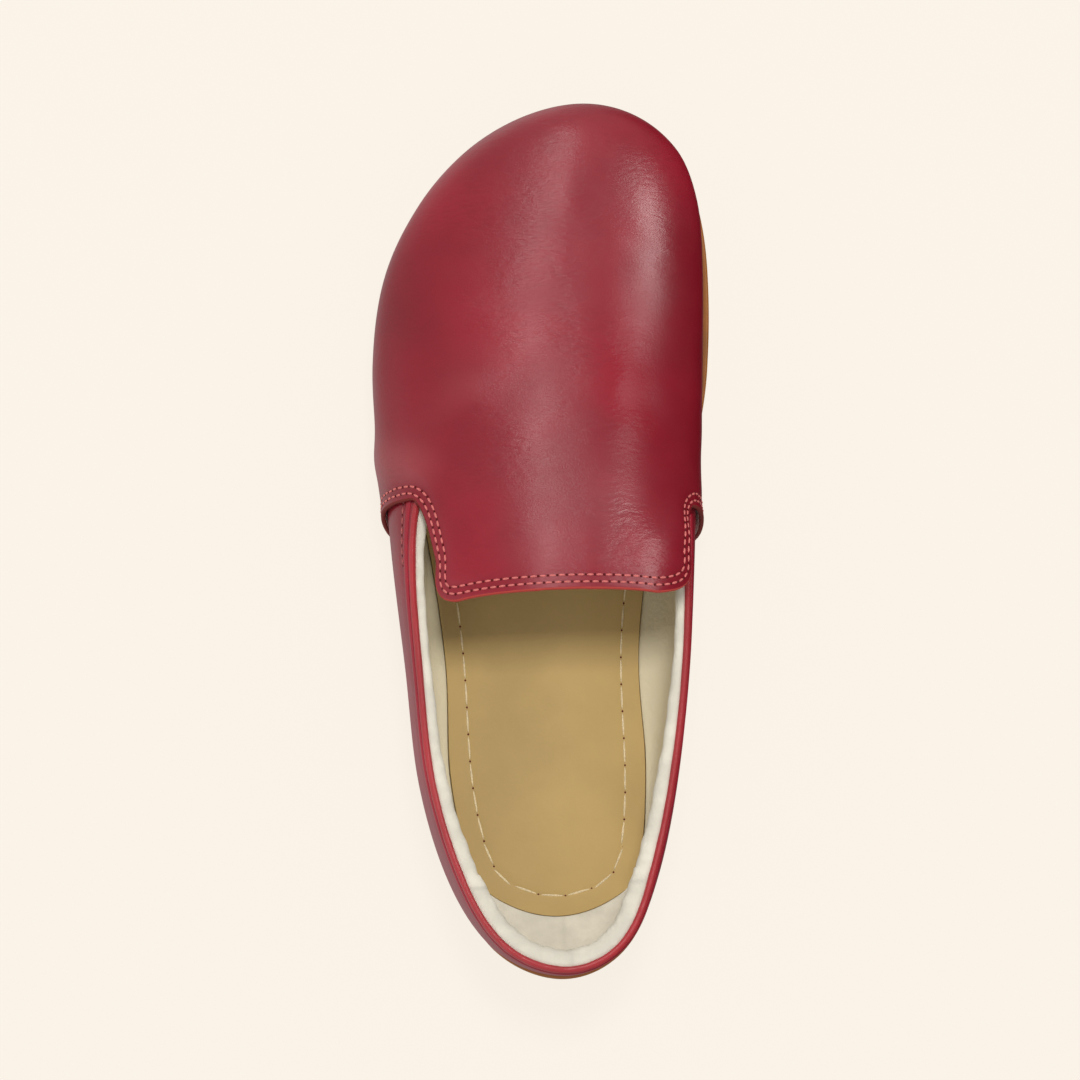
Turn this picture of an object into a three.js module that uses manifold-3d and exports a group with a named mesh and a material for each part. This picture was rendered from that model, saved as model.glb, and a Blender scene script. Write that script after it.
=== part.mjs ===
// Leather slip-on shoe for the left foot, EU 38, standing empty on its flat sole.
// Millimetres, +Z up, toe towards +Y, inner (big toe) side towards +X, origin on the floor under the middle.
//
// Everything is worked out from one last: a closed plan outline and a height law given by a short table.
// The upper is the space between two offsets of that last, the vamp is cut from two larger offsets,
// and the sole, the insole and the topline binding follow the same functions.
import * as THREE from 'three';
import { mergeVertices } from 'three/addons/utils/BufferGeometryUtils.js';
import Module from 'manifold-3d';

const wasm = await Module();
wasm.setup();

// Driving dimensions
const LENGTH = 260; // heel rim of the sole to the toe of the vamp
const BALL_WIDTH = 101; // over everything at the ball of the foot
const INSTEP_HEIGHT = 73; // floor to the top of the upper where the instep flap ends
const HEEL_HEIGHT = 57.5; // floor to the topline at the back of the heel
const SOLE_THICKNESS = 5;
const TOE_SPRING = 5; // lift of the sole under the toe
const UPPER_WALL = 2.4; // quarter leather with its lining
const VAMP_LEATHER = 1.4;
const INSOLE_THICKNESS = 3;
const BINDING_HEIGHT = 2.8;
const GAP = 0.3; // left between pieces that touch

// Details of the pieces
const HEEL_BACK = 1.5; // the last's heel, forward of the sole's rim
const TOE_FRONT = LENGTH - GAP - VAMP_LEATHER; // the last's toe, inside the vamp
const SOLE_RIM = 3.2; // how far the sole stands out past the last's bottom edge
const JOINT_RIM = { more: 1.3, at: 195, full: 15, reach: 50 }; // and further beside the big toe joint
const SOLE_EDGE_ROUND = 0.8;
const SPRING_START = 190; // the sole is flat up to here
const INSOLE_HEEL = { x: -2.7, station: 18.5, bend: 0.0174, lean: -0.06 }; // its end, a shallow arc
const SPINE_SHARE = 0.72; // the ridge line is this share of the last's length
const FLAP_LAP = 1.6; // how far the vamp's flap reaches past the upper underneath it
const BINDING_OUTER_END = 0.8; // the binding runs this far past the front of the slit, under the vamp
const BINDING_INNER_END = -2.5; // on the big toe side it stops before the slit's round
const SEAM_SKEW = THREE.MathUtils.degToRad(3.7); // the side seams: the outer one lies further forward
const SKIRT = 8; // the last runs on to this far below the floor, to be cut off above the sole
const FAR = 200; // larger than the shoe, for cutting tools

// Fineness of the faceted surfaces
const STATIONS = 34; // sections from heel to toe
const LOWER_STEPS = 5; // from the bottom edge to the widest line
const CROWN_STEPS = 9; // from the widest line to the ridge
const BINDING_STEPS = 64;
const BINDING_SIDES = 8;
const SPRING_STEPS = 16;
const TOPLINE_STEPS = 24;
const CURVE_STEPS = 8; // in each curved stretch of a cutting tool
const SEARCH_STEPS = 40; // halvings when a height is looked for on the wall
const WELD = 1e-4; // vertices closer than this are one

// The last, a row for each section from heel to toe.
//   at: distance from the heel as a share of the length
//   outer, inner: widest line on the little and the big toe side, as a share of the ball width
//   outerTuck, innerTuck: how far the bottom edge lies inside the widest line
//   outerFull, innerFull: squareness of the crown, where 2 is an ellipse and more is boxier
//   wide: height of the widest line
//   ridge: height of the ridge as a share of the instep height; behind the flap it only steers the walls
//   ridgeX: sideways place of the ridge
const LAST_COLUMNS = ['at', 'outer', 'inner', 'outerTuck', 'innerTuck', 'outerFull', 'innerFull',
  'wide', 'ridge', 'ridgeX'];
const LAST_ROWS = [
  [HEEL_BACK / LENGTH, -0.010, -0.010, 1.7, 1.7, 3.2, 3.2, 24.0, 1.165, -1.5],
  [0.038, -0.213, 0.173, 3.5, 1.5, 3.0, 3.0, 24.0, 1.165, -1.8],
  [0.115, -0.337, 0.275, 5.2, 2.1, 2.4, 2.4, 24.5, 1.165, -2.0],
  [0.231, -0.415, 0.348, 7.4, 6.0, 2.2, 2.4, 26.0, 1.110, -2.0],
  [0.365, -0.441, 0.396, 10.0, 11.4, 2.1, 2.6, 27.0, 1.055, 0.0],
  [0.500, -0.467, 0.427, 9.0, 9.0, 2.1, 2.5, 26.0, 0.918, 2.5],
  [0.615, -0.477, 0.447, 4.9, 2.3, 2.1, 2.6, 22.5, 0.755, 4.0],
  [0.712, -0.478, 0.463, 4.0, 0.4, 2.15, 2.7, 19.5, 0.638, 5.0],
  [0.808, -0.433, 0.473, 3.0, 0.6, 2.2, 2.7, 18.5, 0.558, 6.5],
  [0.885, -0.330, 0.463, 3.0, 1.4, 2.3, 2.6, 19.0, 0.512, 9.0],
  [0.942, -0.195, 0.408, 3.0, 1.9, 2.4, 2.5, 19.5, 0.480, 11.0],
  [TOE_FRONT / LENGTH, 0.144, 0.144, 4.0, 4.0, 2.4, 2.4, 20.0, 0.445, 13.0],
];

// The topline of the quarters from the side: share of the length, height as a share of the heel height.
const TOPLINE_COLUMNS = ['at', 'height'];
const TOPLINE_ROWS = [
  [-0.050, 1.005],
  [0.015, 1.000],
  [0.115, 0.915],
  [0.231, 0.840],
  [0.365, 0.808],
  [0.480, 0.800],
  [0.600, 0.800],
];

// The instep flap from above, before the vamp's edge runs down to the sole on both sides.
const FLAP = {
  outerEdge: -35.6,
  innerEdge: 39.0,
  rear: 113.4, // rear corners, from the heel
  rearHollow: 2.4, // the rear edge is hollowed this much towards the toe
  outerCorner: { across: 11, along: 8.5 }, // size of the rounded rear corner, little toe side
  innerCorner: { across: 17, along: 10.5 }, // the same, big toe side
  outerNotch: 144.5, // front of the slit between flap and quarter, little toe side
  innerNotch: 139.0, // the same, big toe side
  outerNotchWidth: 6.6, // how far the notch's round flares out from the flap's edge
  innerNotchWidth: 3.6,
  notchRound: 11, // length of that round along the shoe
  outerHeight: 57, // height of the flap's side edges, which are cut square to the leather
  innerHeight: 52,
  sideFall: 0.55, // towards the toe the side edges come down by this much for each millimetre
  sideFallFrom: 12, // from this far ahead of the rear edge on
  flare: 0.032, // how fast the cut opens upwards, as a share of the width for each millimetre
  toolBottom: 40,
  toolTop: 85,
};

// On the big toe side the flap lies flatter than the last, and its free edge stands up from it.
const SPREAD = {
  rise: 5, // at the flap's edge
  from: 17, // sideways place where it starts
  starts: [95, 108], // it comes in between these stations, behind the flap
  ends: [128, 144], // and fades out between these, at the front of the slit
  clear: [47, 53], // the wall below these heights stays as it is
};

// The vamp's side seam from the side: it leaves the notch upright and sweeps back towards the sole.
const SEAM = { foot: 129, turnAt: 141, turnHeight: 26, top: 144, topHeight: 46 };

// A table as a list of rows with named columns.
function namedRows(columns, rows) {
  return rows.map((row) => Object.fromEntries(columns.map((name, i) => [name, row[i]])));
}

// The last's columns as smooth functions of an angle that runs once round the outline:
// 0 at the heel, up the big toe side to half a turn at the toe, and back down the little toe side.
const HALF_LENGTH = (TOE_FRONT - HEEL_BACK) / 2;
const MIDDLE = (TOE_FRONT + HEEL_BACK) / 2;

function angleAt(station) {
  return Math.acos(THREE.MathUtils.clamp((MIDDLE - station) / HALF_LENGTH, -1, 1));
}

function lastLaw() {
  const rows = namedRows(LAST_COLUMNS, LAST_ROWS);
  const values = (row, side) => [row[side] * BALL_WIDTH, row[`${side}Tuck`], row[`${side}Full`],
    row.wide, row.ridge * INSTEP_HEIGHT, row.ridgeX];
  const rising = rows.map((row) => ({ angle: angleAt(row.at * LENGTH), values: values(row, 'inner') }));
  const falling = rows.slice(1, -1).reverse()
    .map((row) => ({ angle: 2 * Math.PI - angleAt(row.at * LENGTH), values: values(row, 'outer') }));
  const turn = [...rising, ...falling];
  const shifted = (turns) => turn
    .map((knot) => ({ angle: knot.angle + turns * 2 * Math.PI, values: knot.values }));
  const knots = [...shifted(-1), ...turn, ...shifted(1)];
  const spline = new THREE.CubicInterpolant(
    knots.map((knot) => knot.angle), knots.flatMap((knot) => knot.values), turn[0].values.length);
  return (angle) => {
    const [x, tuck, full, wide, ridge, ridgeX] = spline.evaluate(angle);
    return { x, tuck, full, wide, ridge, ridgeX };
  };
}
const last = lastLaw();

// Lift of the sole's underside: flat, then curving up under the toe.
function spring(station) {
  const share = THREE.MathUtils.clamp((station - SPRING_START) / (LENGTH - SPRING_START), 0, 1);
  return TOE_SPRING * share * share;
}

function soleTop(station) {
  return SOLE_THICKNESS + spring(station);
}

// The last's widest line in plan, moved outwards by an offset: x sideways, y from the heel.
function outline(angle, offset) {
  const point = (a) => new THREE.Vector2(last(a).x, MIDDLE - HALF_LENGTH * Math.cos(a));
  const step = 1e-3;
  const along = point(angle + step).sub(point(angle - step)).normalize();
  return point(angle).add(new THREE.Vector2(along.y, -along.x).multiplyScalar(offset));
}

// The point of the ridge line that a section of the last leans to.
function spinePoint(angle) {
  const y = MIDDLE - SPINE_SHARE * HALF_LENGTH * Math.cos(angle);
  return new THREE.Vector2(last(angleAt(y)).ridgeX, y);
}

// How far the flap's big toe side stands up at its edge, along the shoe.
function spreadAlong(station) {
  const { smoothstep } = THREE.MathUtils;
  return SPREAD.rise * smoothstep(station, ...SPREAD.starts) * (1 - smoothstep(station, ...SPREAD.ends));
}

// The same at any point of the crown.
function spreadAt(point) {
  const across = THREE.MathUtils.clamp((point.x - SPREAD.from) / (FLAP.innerEdge - SPREAD.from), 0, 1);
  return spreadAlong(point.y) * across ** 2 * THREE.MathUtils.smoothstep(point.z, ...SPREAD.clear);
}

// A point of the last's crown, grown by an offset: lift 0 is the widest line, a quarter turn is the ridge.
function crownPoint(angle, lift, offset) {
  const { full, wide } = last(angle);
  const inward = 1 - Math.cos(lift) ** (2 / full);
  const rise = Math.sin(lift) ** (2 / full);
  const plan = outline(angle, offset).lerp(spinePoint(angle), inward);
  const ridge = last(angleAt(plan.y)).ridge + offset;
  const point = new THREE.Vector3(plan.x, plan.y, wide + (ridge - wide) * rise);
  point.z += spreadAt(point);
  return point;
}

// A point below the widest line, where the last tucks in to its bottom edge: drop runs over a quarter turn.
function tuckPoint(angle, drop, offset) {
  const { tuck, wide } = last(angle);
  const plan = outline(angle, offset - tuck * (1 - Math.cos(drop)));
  const bottom = soleTop(plan.y) - offset;
  return new THREE.Vector3(plan.x, plan.y, wide - (wide - bottom) * Math.sin(drop));
}

// Mesh of a closed surface from vertices and quads or triangles given by vertex index.
class Mesher {
  constructor() {
    this.positions = [];
    this.indices = [];
  }

  vertex(point) {
    this.positions.push(point.x, point.y, point.z);
    return this.positions.length / 3 - 1;
  }

  face(...corners) {
    for (let i = 2; i < corners.length; i += 1) {
      this.indices.push(corners[0], corners[i - 1], corners[i]);
    }
  }

  geometry() {
    const made = new THREE.BufferGeometry();
    made.setAttribute('position', new THREE.Float32BufferAttribute(this.positions, 3));
    made.setIndex(this.indices);
    return made;
  }
}

// Angles of the sections, heel to toe up one side and back down the other.
const TURN = Array.from({ length: 2 * STATIONS }, (_, i) => (i * Math.PI) / STATIONS);

// Flat or sprung cap across a ring of one vertex per section, as a ladder of strips from heel to toe.
function ladderCap(mesher, ring, facingUp) {
  for (let i = 0; i < STATIONS; i += 1) {
    const j = 2 * STATIONS - i;
    const strip = [ring[i], ring[i + 1], ring[j - 1], ring[j % (2 * STATIONS)]];
    const corners = strip.filter((corner, k) => strip.indexOf(corner) === k);
    mesher.face(...(facingUp ? corners : corners.reverse()));
  }
}

// Side walls from ring to ring, each ring above or inside the one before.
function bands(mesher, rings) {
  rings.slice(1).forEach((upper, r) => {
    const lower = rings[r];
    lower.forEach((corner, i) => {
      const next = (i + 1) % lower.length;
      const strip = [corner, lower[next], upper[next], upper[i]];
      mesher.face(...strip.filter((c, k) => strip.indexOf(c) === k));
    });
  });
}

// The whole last grown by an offset, closed underneath, with a skirt below the bottom edge.
function lastSolid(offset, skirt) {
  const mesher = new Mesher();
  const quarter = Math.PI / 2;
  const rings = [TURN.map((angle) => mesher.vertex(tuckPoint(angle, quarter, offset).setZ(-skirt)))];
  for (let i = LOWER_STEPS; i >= 1; i -= 1) {
    const drop = (quarter * i) / LOWER_STEPS;
    rings.push(TURN.map((angle) => mesher.vertex(tuckPoint(angle, drop, offset))));
  }
  for (let i = 0; i < CROWN_STEPS; i += 1) {
    const lift = (quarter * i) / CROWN_STEPS;
    rings.push(TURN.map((angle) => mesher.vertex(crownPoint(angle, lift, offset))));
  }
  const ridge = TURN.slice(0, STATIONS + 1)
    .map((angle) => mesher.vertex(crownPoint(angle, quarter, offset)));
  rings.push(TURN.map((_, i) => ridge[i <= STATIONS ? i : 2 * STATIONS - i]));
  ladderCap(mesher, rings[0], false);
  bands(mesher, rings);
  return solid(mesher.geometry());
}

// A plate that follows the sole's spring: rings of (outline offset, height above the sole's underside).
// It may end at the heel along a line.
function plate(rings, heelLine = () => -FAR) {
  const mesher = new Mesher();
  const made = rings.map(({ offset, height }) => TURN.map((angle) => {
    const plan = outline(angle, offset(angle));
    plan.y = Math.max(plan.y, heelLine(plan.x));
    return mesher.vertex(new THREE.Vector3(plan.x, plan.y, height + spring(plan.y)));
  }));
  ladderCap(mesher, made[0], false);
  bands(mesher, made);
  ladderCap(mesher, made[made.length - 1], true);
  return mesher.geometry();
}

// Boolean solids
function solid(geometry) {
  const bare = geometry.clone();
  bare.deleteAttribute('normal');
  bare.deleteAttribute('uv');
  const merged = mergeVertices(bare, WELD);
  return new wasm.Manifold(new wasm.Mesh({
    numProp: 3,
    vertProperties: new Float32Array(merged.attributes.position.array),
    triVerts: new Uint32Array(merged.index.array),
  }));
}

function geometryOf(manifold) {
  const { vertProperties, triVerts } = manifold.getMesh();
  const made = new THREE.BufferGeometry();
  made.setAttribute('position', new THREE.BufferAttribute(vertProperties, 3));
  made.setIndex(new THREE.BufferAttribute(triVerts, 1));
  return made;
}

// A side-view shape (distance from the heel, height) pushed right across the shoe, turned by the seams' skew.
function sideTool(shape, skewAbout = null) {
  const depth = 2 * FAR;
  const tool = new THREE.ExtrudeGeometry(shape, { depth, bevelEnabled: false, curveSegments: CURVE_STEPS });
  tool.translate(0, 0, -FAR);
  const [across, along, up] = [0, 1, 2].map((axis) => new THREE.Vector3().setComponent(axis, 1));
  tool.applyMatrix4(new THREE.Matrix4().makeBasis(along, up, across));
  if (skewAbout) {
    tool.translate(-skewAbout.x, -skewAbout.y, 0);
    tool.rotateZ(-SEAM_SKEW);
    tool.translate(skewAbout.x, skewAbout.y, 0);
  }
  return solid(tool);
}

// Everything below the upper's bottom edge.
function belowSoleTop() {
  const shape = new THREE.Shape()
    .moveTo(-FAR, -FAR)
    .lineTo(2 * FAR, -FAR)
    .lineTo(2 * FAR, soleTop(LENGTH) + GAP);
  for (let i = SPRING_STEPS; i >= 0; i -= 1) {
    const station = SPRING_START + ((LENGTH - SPRING_START) * i) / SPRING_STEPS;
    shape.lineTo(station, soleTop(station) + GAP);
  }
  shape.lineTo(-FAR, soleTop(0) + GAP);
  return sideTool(shape);
}

// Height of the quarters' topline.
function toplineLaw() {
  const rows = namedRows(TOPLINE_COLUMNS, TOPLINE_ROWS);
  const spline = new THREE.CubicInterpolant(
    rows.map((row) => row.at * LENGTH), rows.map((row) => row.height * HEEL_HEIGHT), 1);
  return (station) => spline.evaluate(station)[0];
}
const toplineHeight = toplineLaw();

// Outer end of the slit, about which the side seams and the topline are skewed.
const NOTCH = new THREE.Vector2(FLAP.outerEdge - FLAP.outerNotchWidth, FLAP.outerNotch);

function toplineAbove(point) {
  return toplineHeight(new THREE.Vector2(point.x, point.y).rotateAround(NOTCH, SEAM_SKEW).y);
}

// Everything above the quarters' topline, as far forward as the slit beside the flap.
function aboveTopline(drop, front) {
  const start = TOPLINE_ROWS[0][0] * LENGTH;
  const shape = new THREE.Shape().moveTo(start, FAR);
  for (let i = 0; i <= TOPLINE_STEPS; i += 1) {
    const station = THREE.MathUtils.lerp(start, front, i / TOPLINE_STEPS);
    shape.lineTo(station, toplineHeight(station) - drop);
  }
  shape.lineTo(front, FAR);
  return sideTool(shape, NOTCH);
}

// Everything behind the vamp's side seams.
function behindSeam() {
  const shape = new THREE.Shape()
    .moveTo(-FAR, -FAR)
    .lineTo(SEAM.foot, -FAR)
    .lineTo(SEAM.foot, 0)
    .quadraticCurveTo(SEAM.turnAt, SEAM.turnHeight, SEAM.top, SEAM.topHeight)
    .lineTo(SEAM.top, FAR)
    .lineTo(-FAR, FAR);
  return sideTool(shape, NOTCH);
}

// The flap and everything in front of it, from above, drawn in by an inset.
function flapTool(inset) {
  const outer = FLAP.outerEdge + inset;
  const inner = FLAP.innerEdge - inset;
  const rear = FLAP.rear + inset;
  const outerFront = FLAP.outerNotch + inset;
  const innerFront = FLAP.innerNotch + inset;
  const shape = new THREE.Shape()
    .moveTo(-FAR, outerFront)
    .lineTo(outer - FLAP.outerNotchWidth, outerFront)
    .quadraticCurveTo(outer, outerFront, outer, outerFront - FLAP.notchRound)
    .lineTo(outer, rear + FLAP.outerCorner.along)
    .quadraticCurveTo(outer, rear, outer + FLAP.outerCorner.across, rear)
    .quadraticCurveTo((outer + inner) / 2, rear + 2 * FLAP.rearHollow, inner - FLAP.innerCorner.across, rear)
    .quadraticCurveTo(inner, rear, inner, rear + FLAP.innerCorner.along)
    .lineTo(inner, innerFront - FLAP.notchRound)
    .quadraticCurveTo(inner, innerFront, inner + FLAP.innerNotchWidth, innerFront)
    .lineTo(FAR, innerFront)
    .lineTo(FAR, 2 * FAR)
    .lineTo(-FAR, 2 * FAR);
  const depth = FLAP.toolTop - FLAP.toolBottom;
  const tool = new THREE.ExtrudeGeometry(shape, { depth, bevelEnabled: false, curveSegments: CURVE_STEPS });
  return solid(squareToLeather(tool.translate(0, 0, FLAP.toolBottom)));
}

// Widens the flap's tool upwards about the height of the flap's own edge, so that its sides cut square.
function squareToLeather(tool) {
  const centre = (FLAP.outerEdge + FLAP.innerEdge) / 2;
  const place = tool.attributes.position;
  for (let i = 0; i < place.count; i += 1) {
    const aside = place.getX(i) - centre;
    const ahead = Math.min(place.getY(i), FLAP.outerNotch) - FLAP.rear - FLAP.sideFallFrom;
    const rearHeight = aside < 0 ? FLAP.outerHeight : FLAP.innerHeight + spreadAlong(place.getY(i));
    const edgeHeight = rearHeight - FLAP.sideFall * Math.max(0, ahead);
    place.setX(i, centre + aside * (1 + FLAP.flare * (place.getZ(i) - edgeHeight)));
  }
  return tool;
}

// The upper: one hollow wall from toe to heel, open underneath, along the topline and beside the flap.
function upperGeometry() {
  const wall = lastSolid(0, SKIRT).subtract(lastSolid(-UPPER_WALL, SKIRT + 1));
  const opening = aboveTopline(BINDING_HEIGHT + GAP, FLAP.outerNotch + FLAP_LAP).subtract(flapTool(FLAP_LAP));
  return geometryOf(wall.subtract(belowSoleTop()).subtract(opening));
}

// The vamp: leather over the front of the upper, with the flap and the lapped side seams.
function vampGeometry() {
  const leather = lastSolid(GAP + VAMP_LEATHER, SKIRT).subtract(lastSolid(GAP, SKIRT + 1));
  const cutAway = behindSeam().subtract(flapTool(0));
  return geometryOf(leather.subtract(belowSoleTop()).subtract(cutAway));
}

// The point of the wall at one section, found where the crown reaches the wanted height.
function crownAtHeight(angle, heightAt, offset) {
  let low = 0;
  let high = Math.PI / 2;
  for (let i = 0; i < SEARCH_STEPS; i += 1) {
    const lift = (low + high) / 2;
    const point = crownPoint(angle, lift, offset);
    if (point.z < heightAt(point)) {
      low = lift;
    } else {
      high = lift;
    }
  }
  return crownPoint(angle, low, offset);
}

// The binding: a rolled strip of leather along the quarters' top edge, from slit to slit round the heel.
function bindingGeometry() {
  const centreHeight = (point) => toplineAbove(point) - BINDING_HEIGHT / 2;
  const centre = (angle) => crownAtHeight(angle, centreHeight, -UPPER_WALL / 2);
  const outerEnd = angleAt(FLAP.outerNotch + BINDING_OUTER_END);
  const innerEnd = angleAt(FLAP.innerNotch + BINDING_INNER_END);
  const angles = Array.from({ length: BINDING_STEPS + 1 },
    (_, i) => THREE.MathUtils.lerp(-outerEnd, innerEnd, i / BINDING_STEPS));
  const mesher = new Mesher();
  const rings = angles.map((angle) => {
    const middle = centre(angle);
    const out = outline(angle, 1).sub(outline(angle, 0));
    return Array.from({ length: BINDING_SIDES }, (_, k) => {
      const turn = (k * 2 * Math.PI) / BINDING_SIDES;
      const side = (Math.cos(turn) * (UPPER_WALL - GAP)) / 2;
      const rise = (Math.sin(turn) * BINDING_HEIGHT) / 2;
      return mesher.vertex(middle.clone().add(new THREE.Vector3(out.x * side, out.y * side, rise)));
    });
  });
  const backwards = rings.reverse();
  bands(mesher, backwards);
  mesher.face(...backwards[0].slice().reverse());
  mesher.face(...backwards[backwards.length - 1]);
  return mesher.geometry();
}

// How far the sole stands out past the last's bottom edge.
function soleRim(angle) {
  const away = Math.abs(MIDDLE - HALF_LENGTH * Math.cos(angle) - JOINT_RIM.at);
  const joint = 1 - THREE.MathUtils.smoothstep(away, JOINT_RIM.full, JOINT_RIM.reach);
  return SOLE_RIM + (angle < Math.PI ? JOINT_RIM.more * joint : 0);
}

// The sole: one flat layer with a rounded lower edge and a rim all round the upper.
function outsoleGeometry() {
  const rim = (inset) => (angle) => soleRim(angle) - last(angle).tuck - inset;
  return plate([
    { offset: rim(SOLE_EDGE_ROUND), height: 0 },
    { offset: rim(0), height: SOLE_EDGE_ROUND },
    { offset: rim(0), height: SOLE_THICKNESS - SOLE_EDGE_ROUND / 2 },
    { offset: rim(SOLE_EDGE_ROUND / 2), height: SOLE_THICKNESS },
  ]);
}

// The insole: a leather sock inside the wall, cut short at the heel.
function insoleGeometry() {
  const edge = (angle) => -UPPER_WALL - GAP - last(angle).tuck;
  const heelLine = (x) => {
    const aside = x - INSOLE_HEEL.x;
    return INSOLE_HEEL.station + INSOLE_HEEL.lean * aside + INSOLE_HEEL.bend * aside ** 2;
  };
  const bottom = SOLE_THICKNESS + GAP;
  return plate([
    { offset: edge, height: bottom },
    { offset: edge, height: bottom + INSOLE_THICKNESS },
  ], heelLine);
}

// Leather finishes
const FINISH = {
  redLeather: new THREE.MeshStandardMaterial({ color: 0x96323c, roughness: 0.42 }),
  redEdge: new THREE.MeshStandardMaterial({ color: 0xa53039, roughness: 0.4 }),
  tanInsole: new THREE.MeshStandardMaterial({ color: 0xb89d63, roughness: 0.6 }),
  amberSole: new THREE.MeshStandardMaterial({ color: 0xa5641f, roughness: 0.55 }),
};

function piece(name, geometry, material) {
  const mesh = new THREE.Mesh(geometry, material);
  mesh.name = name;
  return mesh;
}

const shoe = new THREE.Group();
shoe.add(
  piece('outsole', outsoleGeometry(), FINISH.amberSole),
  piece('insole', insoleGeometry(), FINISH.tanInsole),
  piece('upper', upperGeometry(), FINISH.redLeather),
  piece('vamp', vampGeometry(), FINISH.redLeather),
  piece('collar_binding', bindingGeometry(), FINISH.redEdge),
);
shoe.position.set(0, -LENGTH / 2, 0);

export default shoe;
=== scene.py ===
"""Leathers, lining, binding, soles and stitches of a slip-on shoe, made over its solids, and a studio."""

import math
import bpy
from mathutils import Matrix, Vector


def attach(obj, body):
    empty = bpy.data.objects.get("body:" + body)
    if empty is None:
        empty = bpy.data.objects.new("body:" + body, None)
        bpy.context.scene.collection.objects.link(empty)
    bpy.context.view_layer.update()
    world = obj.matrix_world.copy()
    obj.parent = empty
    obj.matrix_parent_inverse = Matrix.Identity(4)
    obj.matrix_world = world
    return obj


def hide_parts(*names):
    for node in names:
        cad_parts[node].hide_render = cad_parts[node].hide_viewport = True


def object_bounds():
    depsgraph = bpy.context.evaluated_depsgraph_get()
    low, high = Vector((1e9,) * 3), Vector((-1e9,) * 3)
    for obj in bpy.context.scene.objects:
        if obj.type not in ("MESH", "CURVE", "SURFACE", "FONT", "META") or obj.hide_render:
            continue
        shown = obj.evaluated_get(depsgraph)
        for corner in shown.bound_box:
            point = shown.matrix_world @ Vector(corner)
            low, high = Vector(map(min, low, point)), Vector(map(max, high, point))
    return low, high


bl_info = {
    "name": "Leather slip-on shoe",
    "version": (1, 0, 0),
    "blender": (4, 5, 0),
    "location": "3D View > Sidebar > Shoe",
    "description": "Makes the leathers, lining, stitches and soles of a slip-on shoe over its solids",
    "category": "Object",
}

import bpy
import numpy as np
from bpy.props import FloatProperty, FloatVectorProperty, PointerProperty
from mathutils import Matrix, Vector
from mathutils.bvhtree import BVHTree
from mathutils.kdtree import KDTree

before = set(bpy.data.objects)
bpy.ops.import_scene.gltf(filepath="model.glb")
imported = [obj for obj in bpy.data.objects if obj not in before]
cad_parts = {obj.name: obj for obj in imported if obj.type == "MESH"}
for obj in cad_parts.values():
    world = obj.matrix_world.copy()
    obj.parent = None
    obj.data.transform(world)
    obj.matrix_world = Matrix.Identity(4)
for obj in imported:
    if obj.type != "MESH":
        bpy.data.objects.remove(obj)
CAD_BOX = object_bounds()

# Units: the shoe's form is worked out in millimetres, x sideways, y the station from the heel's back, z up
MM = 0.001
HEEL_Y = CAD_BOX[0][1]
LENGTH = (CAD_BOX[1][1] - CAD_BOX[0][1]) / MM
TURN = 2 * math.pi
RIGHT_ANGLE = math.pi / 2

# Driving sizes of the last and its pieces, in millimetres
BALL_WIDTH = 101.0
INSTEP_HEIGHT = 73.0
HEEL_HEIGHT = 57.5
SOLE_THICKNESS = 5.0
TOE_SPRING = 5.0
SPRING_START = 190.0
UPPER_WALL = 2.4
INSOLE_THICKNESS = 3.0
BINDING_HEIGHT = 2.8
GAP = 0.3
HEEL_BACK = 1.5
TOE_FRONT = 258.3
HALF_LENGTH = (TOE_FRONT - HEEL_BACK) / 2
MIDDLE = (TOE_FRONT + HEEL_BACK) / 2
SOLE_RIM = 3.2
SPINE_SHARE = 0.72
SEAM_SKEW = math.radians(3.7)

# The last, heel to toe: station share of the length, then half widths as shares of the ball width,
# tuck under the widest line, fullness of the crown, height of the widest line, ridge as a share of the
# instep height and the ridge's place sideways
LAST_ROWS = [
    # at, outer, inner, outer tuck, inner tuck, outer full, inner full, wide, ridge, ridge x
    (HEEL_BACK / LENGTH, -0.010, -0.010, 1.7, 1.7, 3.2, 3.2, 24.0, 1.165, -1.5),
    (0.038, -0.213, 0.173, 3.5, 1.5, 3.0, 3.0, 24.0, 1.165, -1.8),
    (0.115, -0.337, 0.275, 5.2, 2.1, 2.4, 2.4, 24.5, 1.165, -2.0),
    (0.231, -0.415, 0.348, 7.4, 6.0, 2.2, 2.4, 26.0, 1.110, -2.0),
    (0.365, -0.441, 0.396, 10.0, 11.4, 2.1, 2.6, 27.0, 1.055, 0.0),
    (0.500, -0.467, 0.427, 9.0, 9.0, 2.1, 2.5, 26.0, 0.918, 2.5),
    (0.615, -0.477, 0.447, 4.9, 2.3, 2.1, 2.6, 22.5, 0.755, 4.0),
    (0.712, -0.478, 0.463, 4.0, 0.4, 2.15, 2.7, 19.5, 0.638, 5.0),
    (0.808, -0.433, 0.473, 3.0, 0.6, 2.2, 2.7, 18.5, 0.558, 6.5),
    (0.885, -0.330, 0.463, 3.0, 1.4, 2.3, 2.6, 19.0, 0.512, 9.0),
    (0.942, -0.195, 0.408, 3.0, 1.9, 2.4, 2.5, 19.5, 0.480, 11.0),
    (TOE_FRONT / LENGTH, 0.144, 0.144, 4.0, 4.0, 2.4, 2.4, 20.0, 0.445, 13.0),
]

# The topline from heel to instep: station share of the length, height as a share of the heel height
TOPLINE_ROWS = [
    (-0.05, 1.005),
    (0.015, 1.0),
    (0.115, 0.915),
    (0.231, 0.84),
    (0.365, 0.808),
    (0.48, 0.8),
    (0.6, 0.8),
]

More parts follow.
